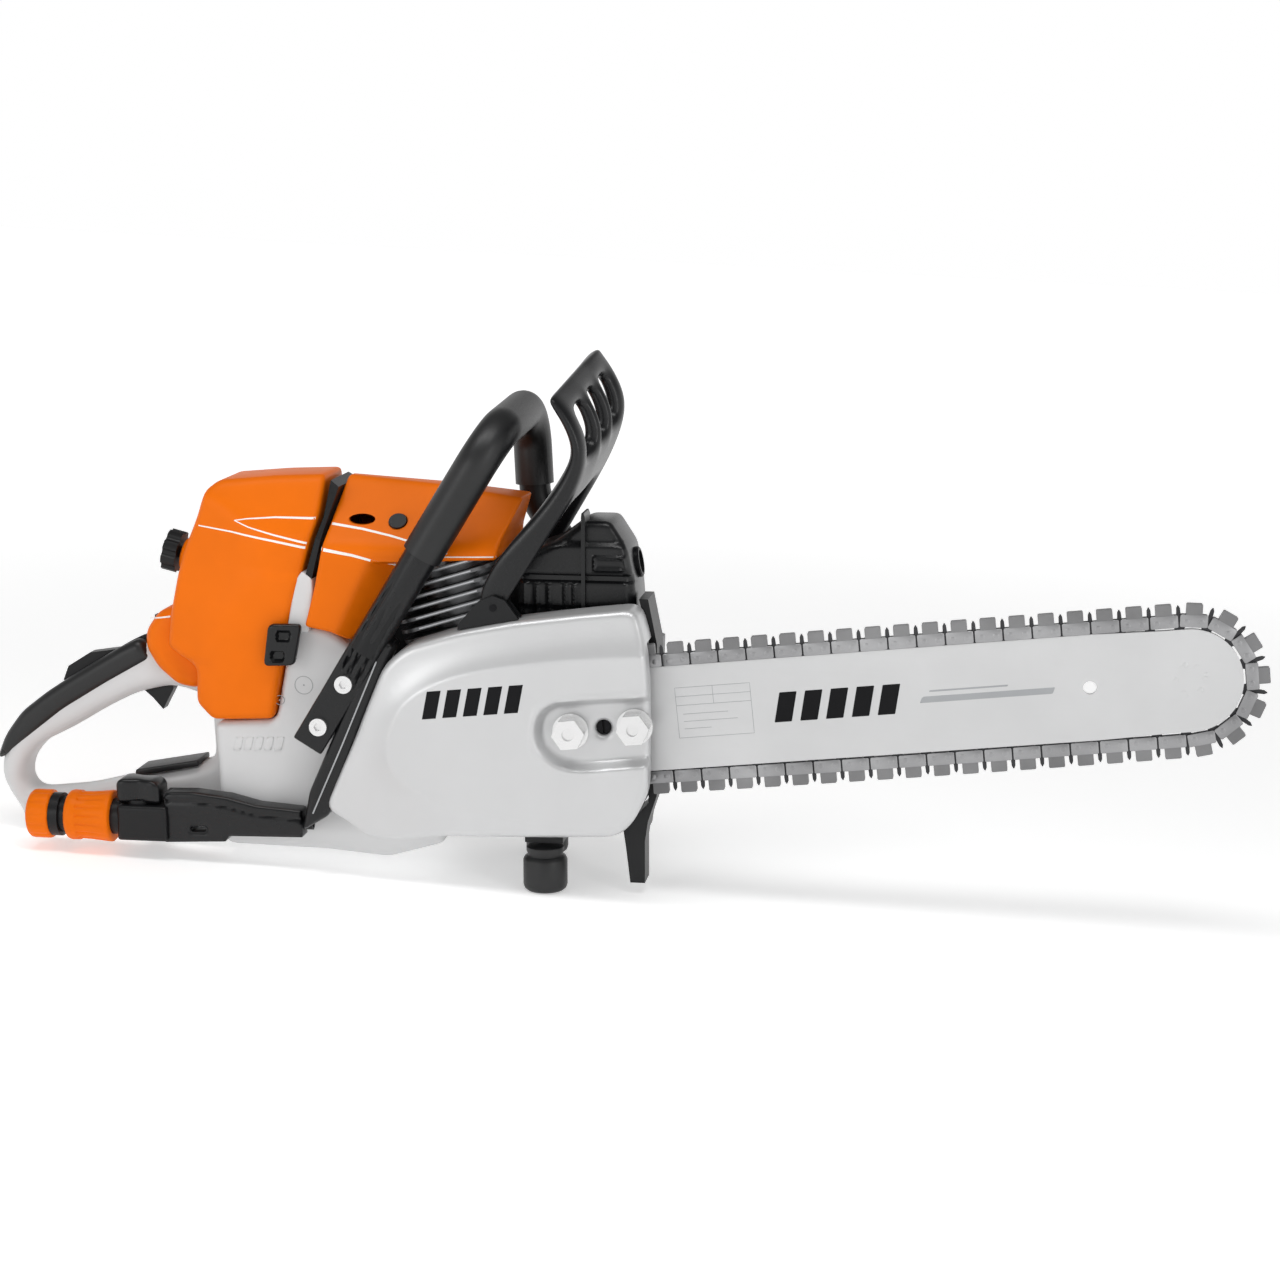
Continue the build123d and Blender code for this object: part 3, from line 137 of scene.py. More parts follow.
orange = material("orange", (0.78, 0.15, 0.001), rough=0.42, grain=0.06, grain_scale=900, vary=0.05,
                  bump=0.02, shine=0.12)
white = material("white", (0.61, 0.612, 0.615), rough=0.42, grain=0.07, grain_scale=1100, vary=0.02,
                 bump=0.04)
silver = material("silver", (0.575, 0.578, 0.582), rough=0.36, metallic=0.45, grain=0.06, grain_scale=1500,
                  vary=0.02, bump=0.02)
black = material("black", (0.005, 0.0053, 0.006), rough=0.4, grain=0.12, grain_scale=1600, vary=0.2, bump=0.1,
                 shine=0.3)
rubber = material("rubber", (0.005, 0.0052, 0.0057), rough=0.42, grain=0.12, grain_scale=1200, vary=0.2,
                  bump=0.15)
gloss_black = material("gloss_black", (0.005, 0.0053, 0.006), rough=0.3, grain=0.08, grain_scale=900,
                       vary=0.15, bump=0.04, shine=0.36)
bar_metal = material("bar_metal", (0.57, 0.572, 0.575), rough=0.4, metallic=0.35, grain=0.12, grain_scale=500,
                     vary=0.03, brushed=(0.04, 1, 1))
# the chain's own dark steel, made darker still as painted shade for the shadow line along the guide bar's edge
chain_steel_and_groove_shade = material("chain_steel_and_groove_shade", (0.045, 0.045, 0.048), rough=0.4, metallic=0.7, grain=0.14,
                       grain_scale=900, vary=0.3, bump=0.05)
segment_metal = material("segment_metal", (0.2, 0.2, 0.203), rough=0.5, metallic=0.5, grain=0.15,
                         grain_scale=2600, vary=0.25, bump=0.3)
alloy = material("alloy", (0.13, 0.133, 0.137), rough=0.4, metallic=0.85, grain=0.15, grain_scale=900,
                 vary=0.1, bump=0.1)
zinc = material("zinc", (0.72, 0.72, 0.72), rough=0.24, metallic=0.85, grain=0.08, grain_scale=700)
steel = material("steel", (0.4, 0.41, 0.42), rough=0.32, metallic=0.9, grain=0.1, grain_scale=700, vary=0.1)
felt = material("felt", (0.6, 0.6, 0.55), rough=0.9, grain=0.05, grain_scale=1500, vary=0.1, bump=0.3)
cord = material("cord", (0.7, 0.7, 0.66), rough=0.8, grain=0.1, grain_scale=1800, vary=0.15, bump=0.4)
plate_steel = material("plate_steel", (0.27, 0.27, 0.275), rough=0.38, metallic=0.75, grain=0.16,
                       grain_scale=700, vary=0.35, bump=0.08, wear=0.6)
line_white = material("line_white", (0.86, 0.84, 0.8), rough=0.35, grain=0.05, vary=0.02)
print_black = material("print_black", (0.006, 0.006, 0.007), rough=0.35, grain=0.06, vary=0.2, shine=0.12)
print_grey = material("print_grey", (0.33, 0.34, 0.35), rough=0.45, grain=0.05, vary=0.05)
looks = {
    "orange_shell": orange, "light_housing": white, "silver_cover": silver, "black_plastic": black,
    "grip_rubber": rubber, "bar_steel": bar_metal, "chain_steel": chain_steel_and_groove_shade, "segment_metal": segment_metal,
    "engine_aluminium": alloy, "fastener_steel": zinc, "machined_steel": steel, "cord": cord,
    "filter_felt": felt,
}
slot_of = {p["node"]: p["material_slot"] for p in frame["record"]["subparts"]}
body_of = {n: body for body, names in frame["record"]["behaviour"]["bodies"].items() for n in names}
CHAIN_BEVEL, PART_BEVEL = 0.3, 0.7
for name, obj in nodes.items():
    obj.data.materials.clear()
    obj.data.materials.append(looks[slot_of[name]])
    bevel = obj.modifiers.new("edge", "BEVEL")
    bevel.width = (CHAIN_BEVEL if "chain" in name or "segment" in name else PART_BEVEL) * MM
    bevel.segments = 2
    bevel.limit_method = "ANGLE"
    bevel.angle_limit = math.radians(40)
for name in ("tensioner_screw", "pivot_pins"):  # blackened, unlike the bright parts that share their slots
    nodes[name].data.materials[0] = print_black


# ---------------------------------------------------------------- making pieces
WELD = 0.00001  # metres, the distance within which vertices are made one


def saw_object(name, verts, faces, weld):
    """A linked mesh object from saw frame points, its faces turned outward. weld merges its doubles."""
    mesh = bpy.data.meshes.new(name)
    mesh.from_pydata([saw(*v) for v in verts], [], [list(f) for f in faces])
    if weld:
        mesh.validate()
    work = bmesh.new()
    work.from_mesh(mesh)
    if weld:
        bmesh.ops.remove_doubles(work, verts=work.verts, dist=WELD)
    bmesh.ops.recalc_face_normals(work, faces=work.faces)
    work.to_mesh(mesh)
    work.free()
    obj = bpy.data.objects.new(name, mesh)
    bpy.context.scene.collection.objects.link(obj)
    return obj


def piece(name, verts, faces, look, node=None, body=None, slot=None, angle=38, subdivide=0):
    """A visible piece from saw frame points, riding on its body and standing for the node it is given."""
    obj = saw_object(name, verts, faces, True)
    obj.data.materials.append(look)
    for polygon in obj.data.polygons:
        polygon.use_smooth = True
    if subdivide:
        smooth = obj.modifiers.new("smooth", "SUBSURF")
        smooth.levels = subdivide
        smooth.render_levels = subdivide
    else:
        obj.data.set_sharp_from_angle(angle=math.radians(angle))
    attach(obj, body or (body_of[node] if node else "saw"))
    if node:
        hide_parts(node)
    return obj


def ellipse(x, z, rx, rz, count=24):
    """Points round an ellipse."""
    turns = [2 * math.pi * i / count for i in range(count)]
    return [(x + rx * math.cos(a), z + rz * math.sin(a)) for a in turns]


def rounded(outline, radius, steps=4):
    """A closed outline with its corners rounded by about radius."""
    points = [Vector(p) for p in outline]
    result = []
    for i, corner in enumerate(points):
        before, after = points[i - 1] - corner, points[(i + 1) % len(points)] - corner
        start = corner + before.normalized() * min(radius, before.length * 0.45)
        end = corner + after.normalized() * min(radius, after.length * 0.45)
        for j in range(steps + 1):
            t = j / steps
            result.append(tuple(start * (1 - t) ** 2 + corner * 2 * t * (1 - t) + end * t * t))
    return result


def dense(outline, step):
    """A closed outline with no edge longer than step."""
    result = []
    for i, (x, z) in enumerate(outline):
        x1, z1 = outline[(i + 1) % len(outline)]
        count = max(1, math.ceil(math.hypot(x1 - x, z1 - z) / step))
        result += [(x + (x1 - x) * j / count, z + (z1 - z) * j / count) for j in range(count)]
    return result


def distance(outline, points):
    """Distance of each point to the nearest edge of a closed outline."""
    best = np.full(len(points), 1e9)
    ring = [*outline, outline[0]]
    for (x0, z0), (x1, z1) in zip(ring, ring[1:]):
        along = np.array((x1 - x0, z1 - z0))
        size = max(float(along @ along), 1e-9)
        t = np.clip((points - (x0, z0)) @ along / size, 0, 1)
        near = np.array((x0, z0)) + t[:, None] * along
        best = np.minimum(best, np.hypot(*(points - near).T))
    return best


def inside(outline, points):
    """Whether each point lies in a closed outline."""
    result = np.zeros(len(points), bool)
    x, z = points.T
    for i, (x1, z1) in enumerate(outline):
        x0, z0 = outline[i - 1]
        if z0 == z1:
            continue
        crosses = (z1 > z) != (z0 > z)
        result ^= crosses & (x < (x0 - x1) * (z - z1) / (z0 - z1) + x1)
    return result


def signed(outline, points):
    """Distance to an outline, positive inside it."""
    return np.where(inside(outline, points), 1, -1) * distance(outline, points)


def swell(edge_distance, radius):
    """How far a rounded edge of this radius falls back, at a distance from the edge."""
    gap = radius - np.clip(edge_distance, 0, radius)
    return radius - np.sqrt(np.maximum(radius * radius - gap * gap, 0))


def smooth_step(value):
    """0 below 0, 1 above 1, and a smooth rise between."""
    t = np.clip(value, 0, 1)
    return t * t * (3 - 2 * t)


def soft_max(a, b, width):
    """The larger of two heights, blended over width."""
    h = np.clip(0.5 + 0.5 * (a - b) / width, 0, 1)
    return b * (1 - h) + a * h + width * h * (1 - h)


def relief(outline, near, far, step=3.0, holes=(), radius=3.0, far_radius=None):
    """Vertices and faces of a moulded body seen from its side.

    near and far give the y of its right and left surface at points (n, 2) of x and z. Both surfaces are
    rounded towards the outline and the holes, and walls join them.
    """
    far_radius = radius if far_radius is None else far_radius
    rings = (outline, *holes)

    def edge_distance(points):
        return np.min([distance(ring, points) for ring in rings], axis=0)

    def within(points):
        result = inside(outline, points)
        for hole in holes:
            result &= ~inside(hole, points)
        return result

    rims = [dense(ring, step * 0.8) for ring in rings]
    edges = []
    for ring in rims:
        first = len(edges)
        edges += [(first + i, first + (i + 1) % len(ring)) for i in range(len(ring))]
    layers = []
    for depth in (0.08, 0.3, 0.65, 1.1):
        for k, ring in enumerate(rims):
            turn = sum(a[0] * b[1] - b[0] * a[1] for a, b in zip(ring, ring[1:] + ring[:1]))
            inward = (1 if turn > 0 else -1) * (1 if k == 0 else -1)
            for i, (x, z) in enumerate(ring):
                (xa, za), (xb, zb) = ring[i - 1], ring[(i + 1) % len(ring)]
                length = max(math.hypot(xb - xa, zb - za), 1e-6)
                nx, nz = -(zb - za) / length * inward, (xb - xa) / length * inward
                layers.append((x + nx * depth * radius, z + nz * depth * radius, depth * radius * 0.93))
    layers = np.array(layers)
    layers = layers[edge_distance(layers[:, :2]) >= layers[:, 2]][:, :2]
    low, high = np.min(outline, axis=0), np.max(outline, axis=0)
    gx, gz = np.meshgrid(np.arange(low[0], high[0], step), np.arange(low[1], high[1], step))
    gx[1::2] += step / 2
    grid = np.stack((gx.ravel(), gz.ravel()), axis=1)
    grid = grid[edge_distance(grid) > 1.1 * radius + step * 0.45]
    loose = np.concatenate((layers, grid))
    points = [p for ring in rims for p in ring] + loose[within(loose)].tolist()
    made, _, triangles, *_ = delaunay_2d_cdt([Vector(p) for p in points], edges, [], 0, 1e-4)
    flat = np.array([tuple(p) for p in made])
    centres = np.array([flat[list(t)].mean(axis=0) for t in triangles])
    triangles = [list(t) for t, kept in zip(triangles, within(centres)) if kept]
    gap = edge_distance(flat)
    right = near(flat) + swell(gap, radius)
    left = far(flat) - swell(gap, far_radius)
    count = len(flat)
    verts = [(x, y, z) for (x, z), y in zip(flat, right)] + [(x, y, z) for (x, z), y in zip(flat, left)]
    faces = triangles + [[i + count for i in reversed(t)] for t in triangles]
    sides = dict.fromkeys((a, b) for t in triangles for a, b in zip(t, t[1:] + t[:1]))
    faces += [(b, a, a + count, b + count) for a, b in sides if (b, a) not in sides]
    return verts, faces


def level(y):
    """A flat surface for relief()."""
    return lambda points: np.full(len(points), float(y))


def mirrored(face, middle):
    """The left side of a cover that is alike on both sides of its middle."""
    return lambda points: 2 * middle - face(points)


def deeper(face, depth):
    """A surface moved to the left by a depth."""
    return lambda points: face(points) + depth


def shell_room(outline, wall, anchor):
    """An outline drawn in by a wall's thickness towards the anchor point."""
    centre = Vector(anchor)
    return [tuple(Vector(p) + (centre - Vector(p)).normalized() * wall) for p in outline]


def edge_following(face, outline, radius):
    """A relief's surface with its rounded edge."""
    return lambda points: face(points) + swell(signed(outline, points), radius)


def cut(obj, verts, faces):
    """Takes a closed form away from a piece."""
    cutter = saw_object("cutter", verts, faces, False)
    boolean = obj.modifiers.new("cut", "BOOLEAN")
    boolean.operation = "DIFFERENCE"
    boolean.solver = "EXACT"
    boolean.object = cutter
    bpy.context.view_layer.update()
    depsgraph = bpy.context.evaluated_depsgraph_get()
    result = bpy.data.meshes.new_from_object(obj.evaluated_get(depsgraph))
    obj.modifiers.remove(boolean)
    obj.data = result
    bpy.data.objects.remove(cutter)


def block(x, y, z):
    """A box between pairs of limits."""
    verts = [(a, b, c) for c in z for b in y for a in x]
    return verts, [(0, 2, 3, 1), (4, 5, 7, 6), (0, 1, 5, 4), (2, 6, 7, 3), (0, 4, 6, 2), (1, 3, 7, 5)]


def prism(outline, y0, y1):
    """An outline extruded across the saw."""
    n = len(outline)
    verts = [(x, y, z) for y in (y0, y1) for x, z in outline]
    faces = [tuple(range(n)), tuple(range(2 * n - 1, n - 1, -1))]
    return verts, faces + [(i, (i + 1) % n, n + (i + 1) % n, n + i) for i in range(n)]


def lathe(profile, axis, sides=64, wave=None, ring=False):
    """A turned form: profile of (along, radius), axis (origin, along, up) in the saw frame.

    wave(angle, along) scales the radius, for ribs. A ring joins the profile's end to its start.
    """
    origin, along, up = (Vector(v) for v in axis)
    along.normalize()
    up = (up - along * up.dot(along)).normalized()
    across = along.cross(up)
    verts = []
    for h, r in profile:
        for i in range(sides):
            a = 2 * math.pi * i / sides
            k = r * (wave(a, h) if wave else 1)
            verts.append(tuple(origin + along * h + up * k * math.cos(a) + across * k * math.sin(a)))
    faces = []
    rows = len(profile)
    for j in range(rows if ring else rows - 1):
        for i in range(sides):
            i1, j1 = (i + 1) % sides, (j + 1) % rows
            faces.append((j * sides + i, j * sides + i1, j1 * sides + i1, j1 * sides + i))
    if not ring and profile[0] != profile[-1]:
        faces.append(tuple(range(sides)))
        faces.append(tuple(range(rows * sides - 1, (rows - 1) * sides - 1, -1)))
    return verts, faces


RIBBON_ROOT = 0.3  # how deep the back of a line lies under its surface


def ribbon(path, width, surface, proud=0.12, step=2.0, out=-1):
    """A thin line along a path of x and z, laid on a surface: out is -1 on the right side, 1 on the left."""
    line = []
    for (x0, z0), (x1, z1) in zip(path, path[1:]):
        count = max(1, math.ceil(math.hypot(x1 - x0, z1 - z0) / step))
        line += [(x0 + (x1 - x0) * j / count, z0 + (z1 - z0) * j / count) for j in range(count)]
    line.append(path[-1])
    widths = width if isinstance(width, tuple) else (width, width)
    rows = []
    for i, (x, z) in enumerate(line):
        (xa, za), (xb, zb) = line[max(i - 1, 0)], line[min(i + 1, len(line) - 1)]
        length = math.hypot(xb - xa, zb - za)
        half = (widths[0] + (widths[1] - widths[0]) * i / (len(line) - 1)) / 2
        nx, nz = -(zb - za) / length * half, (xb - xa) / length * half
        rows.append(((x + nx, z + nz), (x - nx, z - nz)))
    flat = np.array([p for row in rows for p in row])
    y = surface(flat)
    n = len(flat)
    verts = [(x, h + out * proud, z) for (x, z), h in zip(flat, y)]
    verts += [(x, h - out * RIBBON_ROOT, z) for (x, z), h in zip(flat, y)]
    faces = [(0, 1, n + 1, n), (n - 2, n - 1, 2 * n - 1, 2 * n - 2)]
    for i in range(0, n - 2, 2):
        faces += [(i, i + 1, i + 3, i + 2), (n + i, n + i + 2, n + i + 3, n + i + 1)]
        faces += [(i, i + 2, n + i + 2, n + i), (i + 1, n + i + 1, n + i + 3, i + 3)]
    return verts, faces


def joined(*parts):
    """Several forms as one."""
    verts, faces = [], []
    for v, f in parts:
        faces += [tuple(i + len(verts) for i in face) for face in f]
        verts += list(v)
    return verts, faces


# ---------------------------------------------------------------- sprocket cover
cover_outline = rounded([
    (109, 40), (107, 64), (100, 88), (64, 84), (20, 78), (-20, 70), (-55, 59), (-70, 46), (-92, -8),
    (-113, -54), (-97, -63), (-84, -73), (-65, -75), (-28, -70), (28, -68), (88, -65), (99, -54), (109, -33),
], 9)
cover_field = rounded([
    (140, 59), (84, 56.5), (47, 53), (9, 47), (-17, 41.5), (-42, 31), (-58, 17), (-66, -2), (-65, -22),
    (-50, -37), (-33, -43.5), (-7, -50), (22, -55.5), (50, -59), (84, -58), (98, -48), (140, -44),
], 12)
cover_pocket = rounded([
    (33, 5), (36, 18), (45, 25.3), (57, 26.8), (130, 32.8), (130, -12), (62, -19.5), (47, -16.5), (36, -7),
], 9)

FIELD_Y = -27.9  # outer face of the cover's raised field
SHOULDER_FALL = 10.5
POCKET_DEPTH = 9


def cover_face(points):
    """Outer surface of the sprocket cover: a raised field, shoulders that fall away, and the nut pocket."""
    out = np.maximum(-signed(cover_field, points), 0)
    out = np.sqrt(out * out + 1.4) - 1.18
    shoulder = SHOULDER_FALL * (1 - np.exp(-out / 17))
    in_pocket = signed(cover_pocket, points)
    deep = POCKET_DEPTH * smooth_step((in_pocket + 1.8) / 6.6)
    lip = -0.7 * np.exp(-((in_pocket + 2.2) / 2.0) ** 2)
    return FIELD_Y + shoulder + deep + lip * (points[:, 0] < 104)


tensioner_x, _, tensioner_z = on_bar(78.5, 0, 0)
tensioner_hole = ellipse(tensioner_x, tensioner_z, 4.9, 4.9)
sprocket_cover = piece("sprocket_cover_moulded", *relief(
    cover_outline, cover_face, level(8), 1.7, holes=(tensioner_hole,), radius=4.5, far_radius=0.01,
), silver, "sprocket_cover", angle=62)
cut(sprocket_cover, *relief(
    shell_room(cover_outline, 4.6, (0, 4)), lambda p: np.maximum(cover_face(p) + 3, -18), level(9), 4,
    radius=3, far_radius=0.01,
))
cut(sprocket_cover, *block((95, 130), (-14, 10), (-53, 65)))

# ---------------------------------------------------------------- filter cover and top shroud
filter_outline = rounded([
    (-119, 167), (-155, 165.5), (-193, 162), (-202, 155), (-209, 135), (-219, 112), (-223, 97), (-227.5, 70),
    (-230.5, 47.5), (-209, 34), (-209.5, 9.5), (-197.5, -1), (-154, 1), (-141, 70), (-131.5, 103),
    (-121, 140),
], 4)
FILTER_MIDDLE, FILTER_RADIUS = 52.0, 4.5


def filter_face(points):
    """Right side of the filter cover: side panel, sloped roof, rear facet and a step below the waist."""
    x, z = points.T
    side = 4 + 0.02 * np.maximum(90 - z, 0)
    roof = 4 + (z - 128) * 0.571
    crease = np.interp(z, (-10, 20, 73, 101, 140), (-186, -186, -184.5, -164, -150))
    rear = 4 + (crease - x) * np.where(z < 40, 0.35, 0.3)
    waist = 4.0 + 2.2 * smooth_step((z - 99 - (x + 163) * -0.08) / 5)
    y = soft_max(side, waist, 2)
    y = soft_max(y, roof + 2.0, 5)
    return soft_max(y, rear, 4)


filter_cover = piece("filter_cover_moulded", *relief(
    filter_outline, filter_face, mirrored(filter_face, FILTER_MIDDLE), 3.0, radius=FILTER_RADIUS,
), orange, "filter_cover")
filter_inner = deeper(filter_face, 3.5)
cut(filter_cover, *relief(
    shell_room(filter_outline, 5, (-165, 90)), filter_inner, mirrored(filter_inner, FILTER_MIDDLE), 5,
    radius=4,
))
cut(filter_cover, *block((-215.5, -190.5), (34.5, 65.5), (-5, 46)))

shroud_outline = rounded([
    (-107, 165), (-42, 160), (16, 152.7), (5, 127), (3, 114.7), (-31, 113.3), (-63, 109.5), (-92, 61),
    (-99, 57), (-110, 63), (-129, 66.7), (-122, 92),
], 3)
SHROUD_MIDDLE, SHROUD_RADIUS = 51, 2.5


def shroud_face(points):
    """Right side of the top shroud: side panel, roof at 45 degrees, a facet that recedes to the front."""
    x, z = points.T
    roof = 2 + (z - 121)
    start = np.interp(z, (57, 108), (-111, -88))
    facet = 2 + np.maximum(x - start, 0) * 0.5 * (z < 113)
    flank = 2 + 0.03 * np.maximum(z - 100, 0)
    y = soft_max(flank, roof, 5)
    return soft_max(y, np.where(z < 112, facet, 2) - 0.5, 1.2)


top_shroud = piece("top_shroud_moulded", *relief(
    shroud_outline, shroud_face, mirrored(shroud_face, SHROUD_MIDDLE), 2.6, radius=SHROUD_RADIUS,
), orange, "top_shroud")
shroud_inner = deeper(shroud_face, 3.2)
cut(top_shroud, *relief(
    shell_room(shroud_outline, 4.2, (-70, 125)), shroud_inner, mirrored(shroud_inner, SHROUD_MIDDLE), 4.5,
    radius=2,
))
ROOF_VIEW = 0.707  # a round hole in the 45 degree roof, as it looks from the side
for hole in (ellipse(-66.7, 137.4, 6.6, 6.6 * ROOF_VIEW), ellipse(-91.7, 138.2, 9.2, 3.4)):
    cut(top_shroud, *prism(hole, -4, 34))

# ---------------------------------------------------------------- painted lines on the covers
def painted_line(name, path, width, face, middle):
    """A line on both sides of a cover."""
    right, left = ribbon(path, width, face), ribbon(path, width, mirrored(face, middle), out=1)
    piece(name, *joined(right, left), line_white, slot="light_housing")


filter_skin = edge_following(filter_face, filter_outline, FILTER_RADIUS)
for name, path, width in (
    ("filter_line_a", [(-122.4, 139.2), (-150, 139.4), (-170, 138), (-178.5, 136.6)], (1.5, 0.6)),
    ("filter_line_b", [(-178.5, 136.6), (-168, 132.6), (-150, 128.0), (-127.2, 123.0)], (0.6, 1.5)),
    ("filter_line_c", [(-206, 131.6), (-180, 128.9), (-150, 124), (-128.2, 119.9)], (0.8, 1.7)),
):
    painted_line(name, path, width, filter_skin, FILTER_MIDDLE)
shroud_skin = edge_following(shroud_face, shroud_outline, SHROUD_RADIUS)
for name, path, width in (
    ("shroud_line_a", [(-111.8, 135.4), (-90, 132.6), (-70, 128.9), (-47, 123.6), (-30, 118.6)], (1.5, 0.9)),
    ("shroud_line_b", [(-116.6, 119.8), (-95, 116.2), (-75, 111.2), (-66, 108.6)], (2.2, 1.2)),
    ("shroud_line_c", [(-32, 116.4), (-12, 116.8), (3, 117.2)], (0.7, 0.9)),
):
    painted_line(name, path, width, shroud_skin, SHROUD_MIDDLE)

# ---------------------------------------------------------------- tank housing and rear handle
tank_outline = rounded([
    (-196, -3), (-193, -92), (-122, -94), (-80, -99), (-37, -84), (-37, -71), (-72.8, -71), (-72.8, 18),
    (-100, 53), (-113, 62), (-129.5, 66), (-140.5, 66), (-153, 0),
], 6)
handle_outline = rounded([
    (-190, 10), (-222, 40), (-256, 46.5), (-270, 39.5), (-307, 17.5), (-325, 5.5), (-343, -8.5), (-355, -24),
    (-361.5, -41), (-362, -54), (-356.5, -66), (-348, -78), (-346, -91.6), (-300, -93), (-280, -93),
    (-190, -92),
], 12)
handle_loop = rounded([
    (-207, 8), (-234, 16), (-260, 10), (-282, -1), (-307, -16), (-333, -29), (-344, -43), (-346, -56),
    (-339, -64.5), (-300, -60), (-268, -52), (-222, -42), (-205, -36),
], 9)


def tank_face(points):
    """Right side of the tank: a flat wall that tucks in towards the bottom and steps in at the top."""
    x, z = points.T
    low = 9.2 + np.maximum(-72 - z, 0) ** 1.5 * 0.12
    neck = 9.2 + 1.2 * smooth_step((z - 4) / 6)
    return soft_max(low, neck, 2)


screw_bosses = [
    lathe([(0, 0.1), (0, 10.5), (9.5, 8.6), (13, 8.5), (13, 0.1)], ((x, 9, z), (0, -1, 0), (0, 0, 1)), 40)
    for x, z in ((-97.5, 32), (-115.5, 2.4))
]
piece("tank_and_handle", *joined(
    relief(tank_outline, tank_face, level(100), 4, radius=5), *screw_bosses,
), white, "tank_housing")
handle = piece("rear_handle_moulded", *relief(
    handle_outline, level(34), level(66), 3.0, holes=(handle_loop,), radius=9,
), white, slot="light_housing")
LEVER_ROOM = 43, 57  # between the handle's cheeks, where the trigger and the lockout move
for outline in (
    [(-234, 6), (-262, 2), (-272, 20), (-232, 40)],
    [(-250, 28), (-322, -8), (-328, 12), (-300, 36), (-256, 58)],
):
    cut(handle, *prism(outline, *LEVER_ROOM))

grip_outline = rounded([
    (-256, 49.5), (-271, 42.3), (-308, 20.2), (-326.6, 8), (-345, -6.3), (-357.4, -23), (-364.6, -41),
    (-357, -38), (-342, -27), (-312.5, -4), (-280, 16), (-246.5, 35),
], 6)
clip_outline = rounded([(-262, -49.5), (-216, -40.5), (-216, -36), (-262, -44.5)], 1.5)
grip = piece("rear_grip_moulded", *joined(
    relief(grip_outline, level(32), level(68), 2.6, radius=6.5),
    relief(clip_outline, level(33), level(60), 2.5, radius=1.2),
), rubber, "rear_grip")
cut(grip, *prism([(-250, 28), (-322, -8), (-328, 12), (-300, 40), (-256, 60)], *LEVER_ROOM))

# ---------------------------------------------------------------- handlebar's right leg, with its grooves
leg_start, leg_end = Vector((-121.5, -7)), Vector((-70, 77))
leg_run = (leg_end - leg_start).normalized()
leg_side = Vector((-leg_run.y, leg_run.x))


def leg_point(along, across):
    """A point of the leg's side view, from places along and across it."""
    p = leg_start + leg_run * along + leg_side * across
    return p.x, p.y


leg_outline = rounded([leg_point(*p) for p in (
    (-5.5, -11), (-5.5, 11), (40, 11), (88, 11.4), (152, 11.4), (152, -11.4), (88, -11.4), (40, -11),
)], 1.6)


def leg_face(points):
    """Right side of the leg: flat at the screws, turning round further up, with three grooves."""
    along = (points - np.array(leg_start)) @ np.array(leg_run)
    across = (points - np.array(leg_start)) @ np.array(leg_side)
    share = smooth_step((along - 40) / 50)
    y = -16.2 * (1 - share) + share * (-12.5 - 11.6 * np.sqrt(np.maximum(1 - (across / 11.9) ** 2, 0)))
    for offset, width, first, last in ((-5.4, 1.4, 44, 128), (1.0, 1.2, 48, 118), (6.4, 1.0, 50, 138)):
        groove = np.exp(-((across - offset) / width) ** 2) * smooth_step((along - first) / 8)
        y = y + 2.4 * (groove * smooth_step((last - along) / 30))
    return y


piece("handlebar_leg_moulded", *relief(leg_outline, leg_face, level(-10), 1.3, radius=2.2), gloss_black,
      slot="black_plastic")

# ---------------------------------------------------------------- hand guard
guard_rows = [  # middle of the section, thickness, inner edge of the near arm, edges of the far arm
    ((-1, 84), 17, -5.3, 105.5, 110), ((6, 98), 21, -5.3, 105.5, 110), ((15, 113), 22, -5.0, 105.5, 112),
    ((28.5, 131), 19, -1.0, 104, 116), ((42, 149), 16, 3.0, 103, 118), ((52.5, 166), 13.5, 5.0, 102, 118),
    ((58.5, 180), 11.5, 7.0, 102, 118), ((59.5, 191), 10.5, 8.0, 102, 118), ((56, 202), 9.5, 8.0, 102, 118),
    ((50.5, 212), 9.0, 8.0, 102, 118), ((44.5, 220), 7.5, 8.0, 102, 118), ((42, 224), 4.0, 8.0, 102, 118),
]
guard_ribs = (34.5, 42.5, 67.5, 75.5)  # edges of the two ribs between the three slots
PANEL_ROW, SLOT_ROWS, SLOT_COLUMNS = 4, (6, 9), (1, 3, 5)
columns = 4 + len(guard_ribs)


